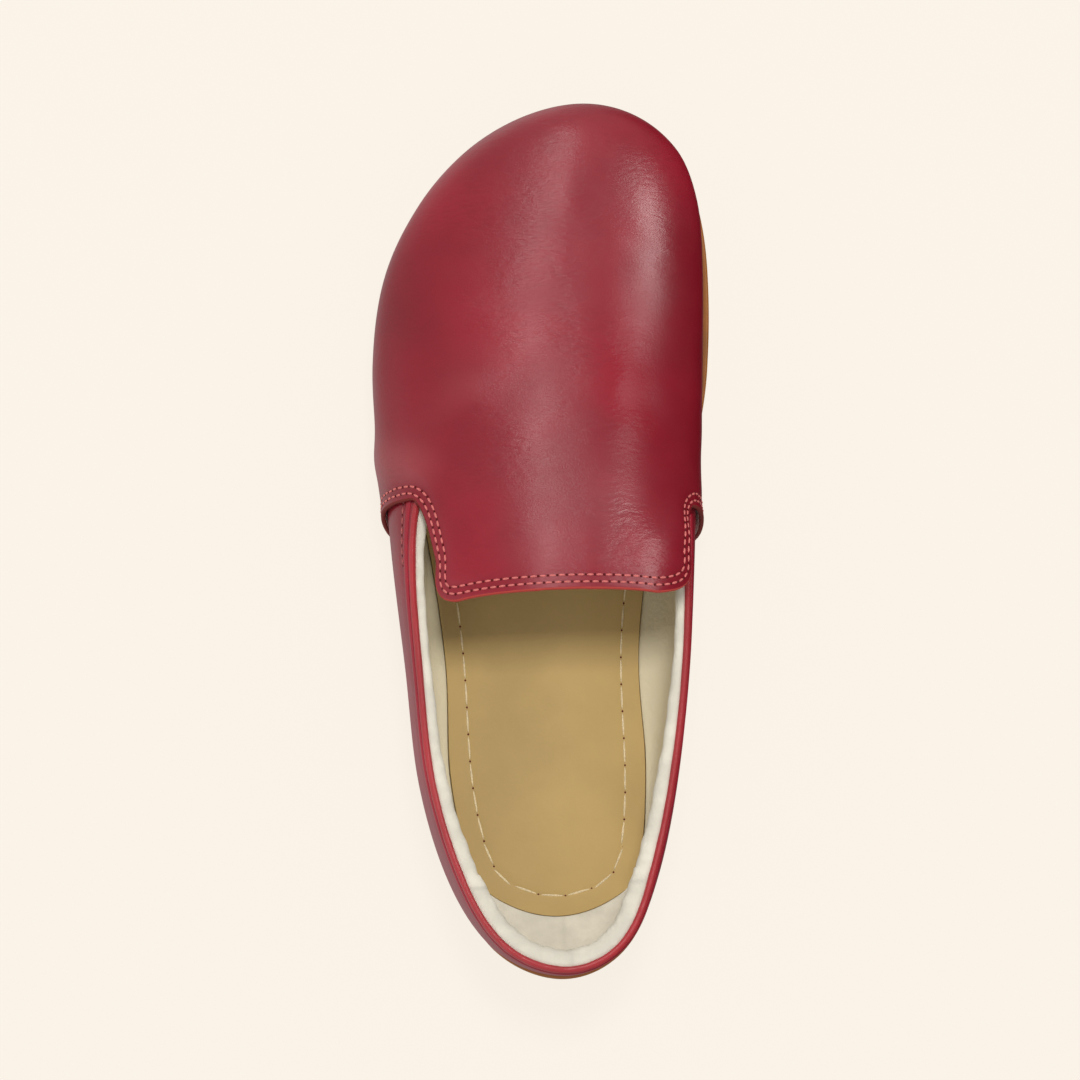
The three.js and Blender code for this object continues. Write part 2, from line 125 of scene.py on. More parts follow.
# The instep flap seen from above, and how its edges come down at the sides
FLAP_OUTER = -35.6
FLAP_INNER = 39.0
FLAP_CENTRE = (FLAP_OUTER + FLAP_INNER) / 2
FLAP_REAR = 113.4
FLAP_HOLLOW = 2.4
OUTER_CORNER = (11.0, 8.5)
INNER_CORNER = (17.0, 10.5)
OUTER_NOTCH = 144.5
INNER_NOTCH = 139.0
OUTER_NOTCH_WIDTH = 6.6
INNER_NOTCH_WIDTH = 3.6
NOTCH_ROUND = 11.0
NOTCH_X = FLAP_OUTER - OUTER_NOTCH_WIDTH
FLAP_OUTER_HEIGHT = 57.0
FLAP_INNER_HEIGHT = 52.0
FLAP_SIDE_FALL = 0.55
FLAP_FALL_FROM = 12.0
FLAP_FLARE = 0.032
FLAP_FLARE_LEAST = 0.4
FLAP_LAP = 1.6

# On the inner side the flap lies flatter than the last: rise of its edge, sideways start, the stations
# between which it comes in and fades out, and the heights below which the wall stays as it is
SPREAD_RISE = 5.0
SPREAD_FROM = 17.0
SPREAD_STARTS = (95.0, 108.0)
SPREAD_ENDS = (128.0, 144.0)
SPREAD_CLEAR = (47.0, 53.0)

# The side seam: stations and heights of its foot, its turn and its top
SEAM_FOOT = 129.0
SEAM_TURN = 141.0
SEAM_TURN_HEIGHT = 26.0
SEAM_TOP = 144.0
SEAM_TOP_HEIGHT = 46.0

# The sole's rim stands out further beside the big toe joint, and its waxed edge swells a little behind the
# heel: by how much, and the distances from the joint or from the heel's back between which it fades out
JOINT_RIM = 1.3
JOINT_STATION = 195.0
JOINT_REACH = (15.0, 50.0)
HEEL_SWELL = 0.4
SWELL_REACH = (6.0, 28.0)

# The insole's heel end, a shallow arc: its lowest place, its bend and its lean
INSOLE_HEEL_X = -2.7
INSOLE_HEEL_STATION = 18.5
INSOLE_HEEL_BEND = 0.0174
INSOLE_HEEL_LEAN = -0.06

# The insole's stitch row: its inset from the edge, its groove's places and depths, the thread's depth
# and the share of the pitch that shows as thread
INSOLE_ROW = 5.9
GROOVE = [(-0.9, 0.0), (-0.4, 0.1), (0.0, 0.2), (0.4, 0.1), (0.9, 0.0)]
ROW_DEPTH = 0.15
INSOLE_STITCH_SHARE = 0.9

# Soft folds of the vamp: start x and station, end x and station, half width, height; a trough is negative
FOLDS = [
    (-4.0, 192.0, -24.0, 175.0, 8.0, 0.20),
    (-24.0, 175.0, -44.0, 154.0, 6.5, 0.36),
    (-10.0, 178.0, -32.0, 162.0, 8.0, -0.30),
    (-30.0, 159.0, -37.0, 150.0, 4.0, 0.14),
    (24.0, 222.5, 38.0, 211.0, 2.6, -0.05),
    (22.0, 216.5, 37.0, 205.5, 3.4, 0.05),
    (20.5, 176.0, 23.5, 178.0, 4.6, 0.20),
    (14.0, 169.0, 30.0, 170.0, 4.0, -0.10),
    (36.0, 172.0, 44.0, 160.0, 5.5, 0.20),
    (33.0, 164.0, 42.0, 152.0, 5.0, -0.16),
    (-14.0, 203.0, 4.0, 201.0, 5.0, -0.10),
    (-12.0, 130.0, 8.0, 128.0, 8.0, 0.14),
    (33.0, 200.0, 35.0, 158.0, 13.0, -0.90),
    (-53.0, 158.0, -41.0, 154.0, 6.5, 0.90),
]
# Distances from the vamp's free edge between which the folds come in
FOLDS_START = (1.0, 9.0)

# The flap's inner edge stands proud: height, sideways start and end, and stations where it fades out
FLAP_PROUD = 1.4
PROUD_ACROSS = (14.0, 44.0)
PROUD_ALONG = (126.0, 140.0)

# The vamp's laps at the side seams stand out: by how much, how far in from the edge, and the distances
# from the middle between which this comes in on each side
LAP_LIFT = 0.9
LAP_REACH = 3.5
OUTER_LAP = (36.0, 41.0)
INNER_LAP = (40.0, 44.0)

# The vamp's free edge: depth and reach of its turned rim, depth of the skived border and where that fades out
RIM_TURN = 0.30
RIM_REACH = 1.0
SKIVE = 0.25
SKIVE_REACH = (3.0, 8.0)

# Painted shade on the vamp's flanks, darker as they tilt to the side: side (-1 is the little toe's), depth,
# tilts in degrees between which it comes in
FLANK_SHADE = [(-1, 0.15, 5.0, 25.0), (1, 0.17, 8.0, 28.0)]
FLANK_SHADE_STARTS = (150.0, 185.0)
FLANK_SHADE_ENDS = (215.0, 240.0)

# Painted highlight on the folds' ridges and painted shade in their troughs: share of the tone for each
# millimetre of fold
HIGHLIGHT_PER_MM = 0.34
TROUGH_SHADE = 0.06
HIGHLIGHT_TONE = (0.40, 0.090, 0.100, 1.0)

# Parts of the vamp that shine more or less: x and station of the middle, half width, half length, change
SHINE = [
    (33.0, 224.0, 10.0, 18.0, 0.60),
    (25.0, 175.0, 12.0, 22.0, -0.55),
    (19.0, 141.0, 9.0, 13.0, 0.70),
]

# Cut edges: their rounding as a share of the thickness, and how far ahead of the flap's rear they stay bright
VAMP_ROUND = 0.42
QUARTER_ROUND = 0.40
LINING_ROUND = 0.30
BRIGHT_CUT = (5.0, 10.0)

# Lines that stitch rows press into the leather: half width, depth, and darkness of the painted shade in them
VAMP_PRESS = (0.7, 0.22, 0.35)
QUARTER_PRESS = (0.8, 0.20, 0.40)

# The quarters: drop of their top as a share of the binding's height, reach under the vamp, depth and reach of
# the turned top, and the stitch row's drop under the binding, its start ahead of the notch and its end
QUARTER_TOP = 0.55
QUARTER_REACH = 9.0
TOP_TURN = 0.25
TOP_REACH = 0.8
QUARTER_ROW = 2.6
QUARTER_ROW_AHEAD = 3.0
QUARTER_ROW_END = 126.0

# The lining's heel patch: station of its seam, thickness, width of its edge, half width of its seam, darkness
PATCH_STATION = 29.0
PATCH_STEP = 0.5
PATCH_EDGE = 0.7
PATCH_SEAM = 0.6
PATCH_DARK = 0.25
# The lining's heel bends forward under the insole, and has a faint crease in its middle, drawn only as
# painted shade
HEEL_BEND = 14.0
HEEL_UNDER_INSOLE = 3.0
HEEL_CREASE = 0.3
HEEL_CREASE_HALF = 0.8
HEEL_CREASE_END = 20.0
LINING_CREASE = 0.5
# Deep inside, the lining is tinted with painted warm light bounced from the insole: drops under the topline
# and stations between which this comes in
BOUNCE_UNDER = (6.0, 24.0)
BOUNCE_ALONG = (24.0, 60.0)
BOUNCE_TINT = (0.94, 0.89, 0.74)

# The lining's roll: share of its width inward and drop under the topline of its section's corners, how far
# inside the last it starts, and the stations between which it slims
LINING_ROLL = [
    (0.0, 0.9), (0.25, 0.75), (0.55, 0.95), (0.80, 1.6), (0.95, 2.6), (1.0, 4.0), (1.0, 5.8),
    (0.96, 7.8), (0.88, 10.0), (0.74, 12.5), (0.50, 15.0), (0.15, 17.5), (-0.05, 10.0), (-0.10, 4.0),
]
LINING_ROLL_START = 1.75
LINING_ROLL_SLIMS = (15.0, 115.0)
# Slight waves along the lining's roll and the binding: height, rate and start
LINING_WAVES = [(0.03, 0.23, 0.0), (0.03, 0.61, 1.0)]
BINDING_WAVES = [(0.025, 0.41, 0.0), (0.02, 0.17, 0.0)]

# The binding's roll, and the flat band outside it: offset from the last and drop under the topline
ROLL_MIDDLE = 0.95
ROLL_HALF_WIDE = 1.05
ROLL_HALF_HIGH = 1.35
BAND_PROFILE = [(-0.4, 2.3), (0.05, 2.45), (0.26, 2.8), (0.30, 3.3), (0.22, 3.8), (0.0, 4.0), (-0.4, 4.1)]
# Where the rolls start ahead of the outer notch, and end short of the inner one
ROLL_AHEAD = 0.8
LINING_SHORT = 1.0
BINDING_SHORT = 2.5

# Stitches: thread's height and needle hole's width as shares of the thread's width, and the hole's flatness
THREAD_HIGH = 0.85
HOLE_WIDE = 1.15
INSOLE_HOLE_WIDE = 0.95
HOLE_FLAT = 0.3
# Needle holes are dark flat beads of painted shade that stand for the shade inside the holes; their colour
HOLE_SHADE = (0.26, 0.020, 0.026)

# How finely the sheets are divided
STATIONS = 300
TUCK_LEVELS = 12
CROWN_LEVELS = 50
FINE_LEVELS = 160
BISECTIONS = 22
SNAP = 0.36
CURVE_STEPS = 24
ROUND_STEPS = 4
BINDING_STEPS = 420
BINDING_SIDES = 18
ROW_STEPS = 60
SOLE_CAP_STEPS = 6
INSOLE_CAP_STEPS = 14
# Rounds that even a stitch path, round the insole's corners, and round a line for each millimetre of inset
PATH_ROUNDS = 4
INSOLE_CORNER_ROUNDS = 12
INSET_ROUNDS = 35
HIGHEST_LIFT = 0.9 * RIGHT_ANGLE
ROUND = np.arange(2 * STATIONS) * math.pi / STATIONS

# Studio: sizes in metres, and the camera's sensor in millimetres
FLOOR_SIZE = 6.0
FLOOR_LEVEL = -0.1 * MM
FLOOR_GLOW = 0.93
AIM = Vector((-0.003, 0.0007, 0.03))
CAMERA_DISTANCE = 3.0
CAMERA_FRAME = 0.320
CAMERA_LEAN = math.radians(-2.5)
CAMERA_NOD = math.radians(-0.6)
CAMERA_ROLL = math.radians(2.5)
CAMERA_FAR = 20.0
SENSOR = 36.0

# Soft lights: name, place, size across, size along, power, and whether the light is one for gloss
LIGHTS = [
    ("gloss_overhead", (-0.14, 1.10, 1.60), 0.14, 2.40, 11.2, True),
    ("gloss_right", (1.00, 0.56, 1.30), 0.26, 1.00, 6.8, True),
    ("key", (0.02, 0.50, 1.88), 0.36, 0.36, 21.0, False),
]
LIGHT_COLOUR = (1.0, 0.985, 0.96)

# The sky is even for diffuse light; in the gloss its brightness runs from the left (0) to the right (1), with
# other values under the horizon; on the left it is brighter at the heel than at the toe, and ahead brightest
SKY_BRIGHT = 0.52
SKY_STOPS = [(0.0, 0.75), (0.33, 0.55), (0.50, 0.60), (0.68, 0.50), (0.82, 0.26), (0.93, 0.11), (1.0, 0.0)]
GROUND_STOPS = [(0.0, 1.10), (0.35, 0.90), (0.58, 0.40), (0.72, 0.0)]
GROUND_AT_HEEL = 0.45
LEFT_AT_HEEL = 1.8
LEFT_AT_TOE = 0.80
FRONT_SHARE = 1.6
# Parts of the directions between which these change: height, ahead for the ground, left, along and ahead
HORIZON = (-0.35, 0.1)
GROUND_AHEAD = (0.1, 0.7)
TO_LEFT = (-0.2, -0.7)
LEFT_ALONG = (-0.25, 0.35)
TO_FRONT = (0.5, 0.95)


def length(name, description, millimetres):
    """A length that a user may change."""
    return FloatProperty(name=name, description=description, default=millimetres * MM, unit="LENGTH")


def tint(name, description, colour):
    """A colour that a user may change."""
    return FloatVectorProperty(name=name, description=description, default=colour, subtype="COLOR")


class ShoeSizes(bpy.types.PropertyGroup):
    """Sizes of the shoe's leathers and stitches."""

    vamp_leather: length("Vamp leather", "Thickness of the vamp", 1.4)
    quarter_leather: length("Quarter leather", "Thickness of the quarters", 1.2)
    lining: length("Lining", "Thickness of the lining", 0.9)
    lining_slim: length("Lining roll at the sides", "Width of the lining's roll at the notches", 2.9)
    lining_full: length("Lining roll at the heel", "Width of the lining's roll at the heel", 4.9)
    first_row: length("First row", "First stitch row's distance from the edge", 2.2)
    row_apart: length("Rows apart", "Distance between the two stitch rows", 2.1)
    pitch: length("Stitch pitch", "Length of one stitch with its gap", 2.75)
    stitch: length("Stitch length", "Length of thread that shows", 2.1)
    thread: length("Thread", "Width of the thread", 0.72)
    insole_pitch: length("Insole pitch", "Length of one insole stitch with its gap", 8.0)
    insole_thread: length("Insole thread", "Width of the insole's thread", 0.66)
    folds: FloatProperty(
        name="Folds", description="Share of the folds' full height", default=1.0, min=0.0, subtype="FACTOR")


class ShoeColours(bpy.types.PropertyGroup):
    """Colours of the shoe's materials and of the studio."""

    red: tint("Red leather", "Vamp and quarters", (0.262, 0.0060, 0.0190))
    cut: tint("Cut edge", "Cut edge of the vamp", (0.42, 0.055, 0.045))
    binding: tint("Binding", "Rolled strip of the topline", (0.40, 0.028, 0.036))
    thread: tint("Thread", "Stitches of the upper", (0.68, 0.165, 0.155))
    lining: tint("Lining", "Pale lining", (0.785, 0.745, 0.640))
    insole: tint("Insole", "Tan insole", (0.525, 0.368, 0.150))
    insole_thread: tint("Insole thread", "Stitches of the insole", (0.82, 0.69, 0.45))
    sole: tint("Sole", "Amber sole edge", (0.33, 0.112, 0.014))
    floor: tint("Floor", "Studio floor", (0.963, 0.895, 0.807))


# Curves and the last


def smooth_step(value, start, end):
    """0 before the start, 1 past the end, smooth in between."""
    share = np.clip((value - start) / (end - start), 0, 1)
    return share * share * (3 - 2 * share)


def smooth_fall(value, start, end):
    """1 before the start, 0 past the end, smooth in between."""
    return 1 - smooth_step(value, start, end)


def bell(distance, half):
    """1 in the middle, fading out on both sides."""
    return np.exp(-((distance / half) ** 2))


def unit(vectors):
    """Vectors made one long."""
    return vectors / np.maximum(np.linalg.norm(vectors, axis=-1, keepdims=True), 1e-12)


def quadratic(start, turn, end, share):
    """A quadratic curve from start to end, drawn towards its turn."""
    return start * (1 - share) ** 2 + 2 * turn * share * (1 - share) + end * share ** 2


def bisect(under, low, high, rounds):
    """Values between low and high where under stops being true."""
    for _ in range(rounds):
        middle = (low + high) / 2
        still = under(middle)
        low = np.where(still, middle, low)
        high = np.where(still, high, middle)
    return high


def smooth_curve(knots, rows):
    """Smooth curve through rows of values at rising knots; a knot's slope is the mean of its two sides'."""
    knots = np.asarray(knots, float)
    rows = np.asarray(rows, float)
    steps = np.diff(rows, axis=0) / np.diff(knots)[:, None]
    slopes = np.concatenate([steps[:1], (steps[1:] + steps[:-1]) / 2, steps[-1:]])

    def at(places):
        places = np.asarray(places, float)
        left = np.clip(np.searchsorted(knots, places, side="right") - 1, 0, len(knots) - 2)
        width = (knots[left + 1] - knots[left])[..., None]
        share = (places - knots[left])[..., None] / width
        square = share * share
        cube = square * share
        near = rows[left] * (2 * cube - 3 * square + 1) + slopes[left] * width * (cube - 2 * square + share)
        far = rows[left + 1] * (3 * square - 2 * cube) + slopes[left + 1] * width * (cube - square)
        return near + far

    return at


def angle_at(station):
    """Angle round the outline where the inner side reaches a station."""
    return np.arccos(np.clip((MIDDLE - station) / HALF_LENGTH, -1, 1))


def last_curve():
    """Curve of the last's columns over the angle, three turns long so that it closes smoothly."""
    inner = [(angle_at(row[0] * LENGTH),) + row[2:7:2] + row[7:] for row in LAST_ROWS]
    outer = [(TURN - angle_at(row[0] * LENGTH),) + row[1:6:2] + row[7:] for row in LAST_ROWS[-2:0:-1]]
    rows = np.array(inner + outer)
    knots = np.concatenate([rows[:, 0] + turn * TURN for turn in (-1, 0, 1)])
    values = rows[:, 1:] * (BALL_WIDTH, 1, 1, 1, INSTEP_HEIGHT, 1)
    return smooth_curve(knots, np.tile(values, (3, 1)))


LAST_CURVE = last_curve()
TOPLINE_CURVE = smooth_curve([row[0] * LENGTH for row in TOPLINE_ROWS], [row[1:] for row in TOPLINE_ROWS])


def last_at(angle):
    """Side, tuck, fullness, widest height, ridge height and ridge place of the last at an angle."""
    return np.moveaxis(LAST_CURVE(np.mod(angle, TURN)), -1, 0)


def spring(station):
    """Rise of the toe above the floor at a station."""
    return TOE_SPRING * np.clip((station - SPRING_START) / (LENGTH - SPRING_START), 0, 1) ** 2


def sole_top(station):
    """Height of the sole's top at a station."""
    return SOLE_THICKNESS + spring(station)


def widest_line(angle):
    """Point of the widest line seen from above."""
    return np.stack([last_at(angle)[0], MIDDLE - HALF_LENGTH * np.cos(angle)], axis=-1)


def outline(angle, offset):
    """The widest line seen from above, moved outward by an offset."""
    step = 1e-3
    along = unit(widest_line(angle + step) - widest_line(angle - step))
    outward = np.stack([along[..., 1], -along[..., 0]], axis=-1)
    return widest_line(angle) + outward * np.asarray(offset)[..., None]


def spine_point(angle):
    """Point of the spine seen from above, where the meridian of an angle ends."""
    y = MIDDLE - SPINE_SHARE * HALF_LENGTH * np.cos(angle)
    return np.stack([last_at(angle_at(y))[5], y], axis=-1)


def with_height(plan, height):
    """Points of a plan line at their heights."""
    return np.concatenate([plan, height[..., None]], axis=-1)


def spread_along(station):
    """How far the flap's inner edge stands up from the last, along the shoe."""
    return SPREAD_RISE * smooth_step(station, *SPREAD_STARTS) * smooth_fall(station, *SPREAD_ENDS)


def spread_at(points):
    """How far points of the crown stand up from the last."""
    across = np.clip((points[..., 0] - SPREAD_FROM) / (FLAP_INNER - SPREAD_FROM), 0, 1)
    return spread_along(points[..., 1]) * across ** 2 * smooth_step(points[..., 2], *SPREAD_CLEAR)


def crown_points(angle, lift, offset):
    """Points of the last above its widest line, lifted from 0 to a right angle at the ridge."""
    angle, lift, offset = np.broadcast_arrays(angle, lift, offset)
    _, _, full, wide, _, _ = last_at(angle)
    inward = 1 - np.clip(np.cos(lift), 0, 1) ** (2 / full)
    rise = np.clip(np.sin(lift), 0, 1) ** (2 / full)
    edge = outline(angle, offset)
    plan = edge + (spine_point(angle) - edge) * inward[..., None]
    ridge = last_at(angle_at(plan[..., 1]))[4] + offset
    points = with_height(plan, wide + (ridge - wide) * rise)
    points[..., 2] += spread_at(points)
    return points


def tuck_points(angle, drop, offset):
    """Points of the last under its widest line, dropped from 0 to a right angle at the bottom edge."""
    angle, drop, offset = np.broadcast_arrays(angle, drop, offset)
    _, tuck, _, wide, _, _ = last_at(angle)
    plan = outline(angle, offset - tuck * (1 - np.cos(drop)))
    bottom = sole_top(plan[..., 1]) - offset
    return with_height(plan, wide - (wide - bottom) * np.sin(drop))


def even_lifts(angles, offset):
    """Lifts that share each meridian from the widest line to the ridge evenly, one row for each level."""
    fine = np.linspace(0, RIGHT_ANGLE, FINE_LEVELS)
    steps = np.linalg.norm(np.diff(crown_points(angles, fine[:, None], offset), axis=0), axis=-1)
    far = np.concatenate([np.zeros((1, len(angles))), np.cumsum(steps, axis=0)])
    shares = np.linspace(0, 1, CROWN_LEVELS + 1)
    return np.stack([np.interp(shares * column[-1], column, fine) for column in far.T], axis=1)


# Lines on the last


def skewed_station(points):
    """Station of points along the turned side tools of the seam and the topline."""
    ahead = (points[..., 1] - OUTER_NOTCH) * math.cos(SEAM_SKEW)
    return OUTER_NOTCH + (points[..., 0] - NOTCH_X) * math.sin(SEAM_SKEW) + ahead


def topline_height(points):
    """Height of the topline beside points."""
    return TOPLINE_CURVE(skewed_station(points))[..., 0] * HEEL_HEIGHT


def behind_seam(points):
    """How far points lie behind the side seam."""
    height = np.clip(points[..., 2], 0, SEAM_TOP_HEIGHT)
    bend = 2 * SEAM_TURN_HEIGHT - SEAM_TOP_HEIGHT
    share = (SEAM_TURN_HEIGHT - np.sqrt(SEAM_TURN_HEIGHT ** 2 - bend * height)) / bend
    return quadratic(SEAM_FOOT, SEAM_TURN, SEAM_TOP, share) - skewed_station(points)


def bend_between(start, turn, end):
    """Points of a quadratic curve after its start."""
    share = np.linspace(0, 1, CURVE_STEPS + 1)[1:, None]
    return quadratic(np.array(start), np.array(turn), np.array(end), share)


def flap_outline(inset):
    """The flap's edge seen from above, from the outer notch round the rear to the inner notch."""
    far = 2 * LENGTH
    outer = FLAP_OUTER + inset
    inner = FLAP_INNER - inset
    rear = FLAP_REAR + inset
    outer_front = OUTER_NOTCH + inset
    inner_front = INNER_NOTCH + inset
    notch_start = (outer - OUTER_NOTCH_WIDTH, outer_front)
    outer_side = (outer, rear + OUTER_CORNER[1])
    rear_start = (outer + OUTER_CORNER[0], rear)
    rear_end = (inner - INNER_CORNER[0], rear)
    corner_end = (inner, rear + INNER_CORNER[1])
    hollow = ((outer + inner) / 2, rear + 2 * FLAP_HOLLOW)
    inner_side = (inner, inner_front - NOTCH_ROUND)
    return np.concatenate([
        [(-far, outer_front), notch_start],
        bend_between(notch_start, (outer, outer_front), (outer, outer_front - NOTCH_ROUND)),
        [outer_side],
        bend_between(outer_side, (outer, rear), rear_start),
        bend_between(rear_start, hollow, rear_end),
        bend_between(rear_end, (inner, rear), corner_end),
        [inner_side],
        bend_between(inner_side, (inner, inner_front), (inner + INNER_NOTCH_WIDTH, inner_front)),
        [(far, inner_front)],
    ])


def outside_flap(points, inset):
    """Distance of points outside the flap's edge, negative inside."""
    line = flap_outline(inset)
    aside = points[..., 0] - FLAP_CENTRE
    ahead = np.minimum(points[..., 1], OUTER_NOTCH) - FLAP_REAR - FLAP_FALL_FROM
    side_height = np.where(aside < 0, FLAP_OUTER_HEIGHT, FLAP_INNER_HEIGHT + spread_along(points[..., 1]))
    edge_height = side_height - FLAP_SIDE_FALL * np.maximum(0, ahead)
    x = FLAP_CENTRE + aside / np.maximum(FLAP_FLARE_LEAST, 1 + FLAP_FLARE * (points[..., 2] - edge_height))
    y = points[..., 1]
    nearest = np.full(x.shape, np.inf)
    crossed = np.zeros(x.shape, int)
    for start, end in zip(line[:-1], line[1:]):
        run = end - start
        share = np.clip(((x - start[0]) * run[0] + (y - start[1]) * run[1]) / (run @ run), 0, 1)
        nearest = np.minimum(nearest, np.hypot(x - start[0] - share * run[0], y - start[1] - share * run[1]))
        spans = (start[0] <= x) != (end[0] <= x)
        over = y > start[1] + (x - start[0]) / (run[0] if run[0] else 1.0) * run[1]
        crossed += np.where(spans & over, np.sign(run[0]).astype(int), 0)
    return np.where(crossed > 0, -nearest, nearest)


def sole_cut(points):
    """Positive under the bottom edge of the upper."""
    return sole_top(points[..., 1]) + GAP - points[..., 2]


def wall_line(angles, offset, drop):
    """Points of the last's wall that lie a drop under the topline."""

    def under(lift):
        points = crown_points(angles, lift, offset)
        return points[:, 2] < topline_height(points) - drop

    lift = bisect(under, np.zeros(len(angles)), np.full(len(angles), HIGHEST_LIFT), 2 * BISECTIONS)
    return crown_points(angles, lift, offset)


def topline_angles(short):
    """Angles from the outer notch round the heel to a little short of the inner notch."""
    return np.linspace(-angle_at(OUTER_NOTCH + ROLL_AHEAD), angle_at(INNER_NOTCH - short), BINDING_STEPS)


def waves(rows):
    """Slight waves round 1 along the topline."""
    steps = np.arange(BINDING_STEPS)
    return 1 + sum(height * np.sin(steps * rate + start) for height, rate, start in rows)


def insole_end(across):
    """Station of the insole's heel end at places sideways."""
    aside = across - INSOLE_HEEL_X
    return INSOLE_HEEL_STATION + INSOLE_HEEL_LEAN * aside + INSOLE_HEEL_BEND * aside ** 2


# Meshes


def ring_mesh(rows):
    """Points and outward quads of closed rings from the lowest up; first and last rows may be ridge lines."""
    ring = np.arange(2 * STATIONS)
    ridge = np.minimum(ring, 2 * STATIONS - ring)
    quads = []
    first = 0
    previous = None
    for row in rows:
        corners = first + (ring if len(row) == len(ring) else ridge)
        if previous is not None:
            quads.append(np.stack([previous, np.roll(previous, -1), np.roll(corners, -1), corners], axis=1))
        previous = corners
        first += len(row)
    return np.concatenate(rows), np.concatenate(quads)


def last_sheet(offset, first_angle, shift=None):
    """The last's wall grown by an offset, open underneath; shift moves its points level."""
    angles = first_angle + ROUND
    drops = np.linspace(RIGHT_ANGLE, 0, TUCK_LEVELS, endpoint=False)
    tuck = tuck_points(angles, drops[:, None], offset)
    grid = np.concatenate([tuck, crown_points(angles, even_lifts(angles, offset), offset)])
    if shift is not None:
        outward = outline(angles, np.ones(len(angles))) - widest_line(angles)
        grid[..., :2] += shift(grid, outward)
    return ring_mesh(list(grid[:-1]) + [grid[-1][: STATIONS + 1]])


def trim(points, quads, field):
    """Sheet cut along field = 0, kept where the field is negative; corners close to the cut move onto it."""
    points = points.copy()
    value = field(points)
    ends = np.stack([quads, np.roll(quads, -1, axis=1)], axis=-1).reshape(-1, 2)
    edges = np.unique(np.sort(ends, axis=1), axis=0)

    def crossings():
        cut = edges[value[edges[:, 0]] * value[edges[:, 1]] < 0]
        start = points[cut[:, 0]]
        run = points[cut[:, 1]] - start
        kept = value[cut[:, 0]] < 0

        def same(share):
            return (field(start + run * share[:, None]) < 0) == kept

        share = bisect(same, np.zeros(len(cut)), np.ones(len(cut)), BISECTIONS)
        return cut, share, start + run * share[:, None]

    cut, share, place = crossings()
    early = share < SNAP
    late = share > 1 - SNAP
    corner = np.concatenate([cut[early, 0], cut[late, 1]])
    move = np.concatenate([share[early], 1 - share[late]])
    spot = np.concatenate([place[early], place[late]])
    order = np.argsort(-move, kind="stable")
    points[corner[order]] = spot[order]
    value[corner] = 0.0
    cut, share, place = crossings()
    bright_cut = {tuple(pair): len(points) + i for i, pair in enumerate(cut.tolist())}
    points = np.concatenate([points, place])
    value = np.concatenate([value, np.zeros(len(place))]).tolist()
    faces = []
    for quad in quads.tolist():
        if min(value[corner] for corner in quad) >= 0:
            continue
        face = []
        for corner, after in zip(quad, quad[1:] + quad[:1]):
            if value[corner] <= 0:
                face.append(corner)
            if value[corner] * value[after] < 0:
                face.append(bright_cut[(min(corner, after), max(corner, after))])
        if len(face) > 2:
            faces.append(face)
    used = np.unique(np.concatenate([np.asarray(face) for face in faces]))
    number = np.zeros(len(points), int)
    number[used] = np.arange(len(used))
    return points[used], [number[face].tolist() for face in faces]


def corner_normals(points, faces):
    """Outward directions of a sheet's corners."""
    total = np.zeros_like(points)
    groups = {}
    for face in faces:
        groups.setdefault(len(face), []).append(face)
    for group in groups.values():
        group = np.asarray(group)
        for i in range(1, group.shape[1] - 1):
            a, b, c = group[:, 0], group[:, i], group[:, i + 1]
            normal = np.cross(points[b] - points[a], points[c] - points[a])
            for corner in (a, b, c):
                np.add.at(total, corner, normal)
    return unit(total)


def open_loops(faces):
    """Loops of edges that only one face has, each as corners in the direction of their faces."""
    pairs = {}
    for face in faces:
        for pair in zip(face, face[1:] + face[:1]):
            pairs[pair] = True
    following = {a: b for a, b in pairs if (b, a) not in pairs}
    loops = []
    while following:
        start = next(iter(following))
        loop = [start]
        after = following.pop(start)
        while after != start:
            loop.append(after)
            after = following.pop(after)
        loops.append(np.asarray(loop))
    return loops


def outward_at(points, normals, loop):
    """Directions in the sheet that point out past its edge, evened along the loop."""
    along = np.roll(points[loop], -1, axis=0) - np.roll(points[loop], 1, axis=0)
    outward = unit(np.cross(along, normals[loop]))
    for _ in range(3):
        outward = unit(outward * 2 + np.roll(outward, 1, axis=0) + np.roll(outward, -1, axis=0))
    return outward


def leather_shell(points, faces, thickness, rounding):
    """A sheet given thickness behind its faces, with a round edge; kinds are 0 face, 1 edge, 2 back."""
    normals = corner_normals(points, faces)
    count = len(points)
    parts = [points, points - normals * thickness]
    total = 2 * count
    solid = list(faces) + [[corner + count for corner in face[::-1]] for face in faces]
    kinds = [0] * len(faces) + [2] * len(faces)
    turns = np.linspace(0, RIGHT_ANGLE, ROUND_STEPS + 1)[1:]
    profile = [(rounding * math.sin(turn), rounding * (1 - math.cos(turn))) for turn in turns]
    profile = profile + [(out, thickness - down) for out, down in profile[::-1]]
    for loop in open_loops(faces):
        outward = outward_at(points, normals, loop)
        rings = [loop]
        for out, down in profile:
            parts.append(points[loop] + outward * out - normals[loop] * down)
            rings.append(total + np.arange(len(loop)))
            total += len(loop)
        rings.append(loop + count)
        for ring, after in zip(rings[:-1], rings[1:]):
            solid += np.stack([np.roll(ring, -1), ring, after, np.roll(after, -1)], axis=1).tolist()
            kinds += [1] * len(loop)
    return np.concatenate(parts), solid, kinds


def swept(sections):
    """A closed bar through sections, one row of corners each."""
    steps, sides = sections.shape[:2]
    faces = []
    for first in range(0, (steps - 1) * sides, sides):
        for j in range(sides):
            k = (j + 1) % sides
            faces.append([first + j, first + sides + j, first + sides + k, first + k])
    faces.append(list(range(sides)))
    faces.append([(steps - 1) * sides + j for j in range(sides)][::-1])
    return sections.reshape(-1, 3), faces


def joined(points, faces, more_points, more_faces):
    """Two meshes as one."""
    shifted = [[corner + len(points) for corner in face] for face in more_faces]
    return np.concatenate([points, more_points]), faces + shifted


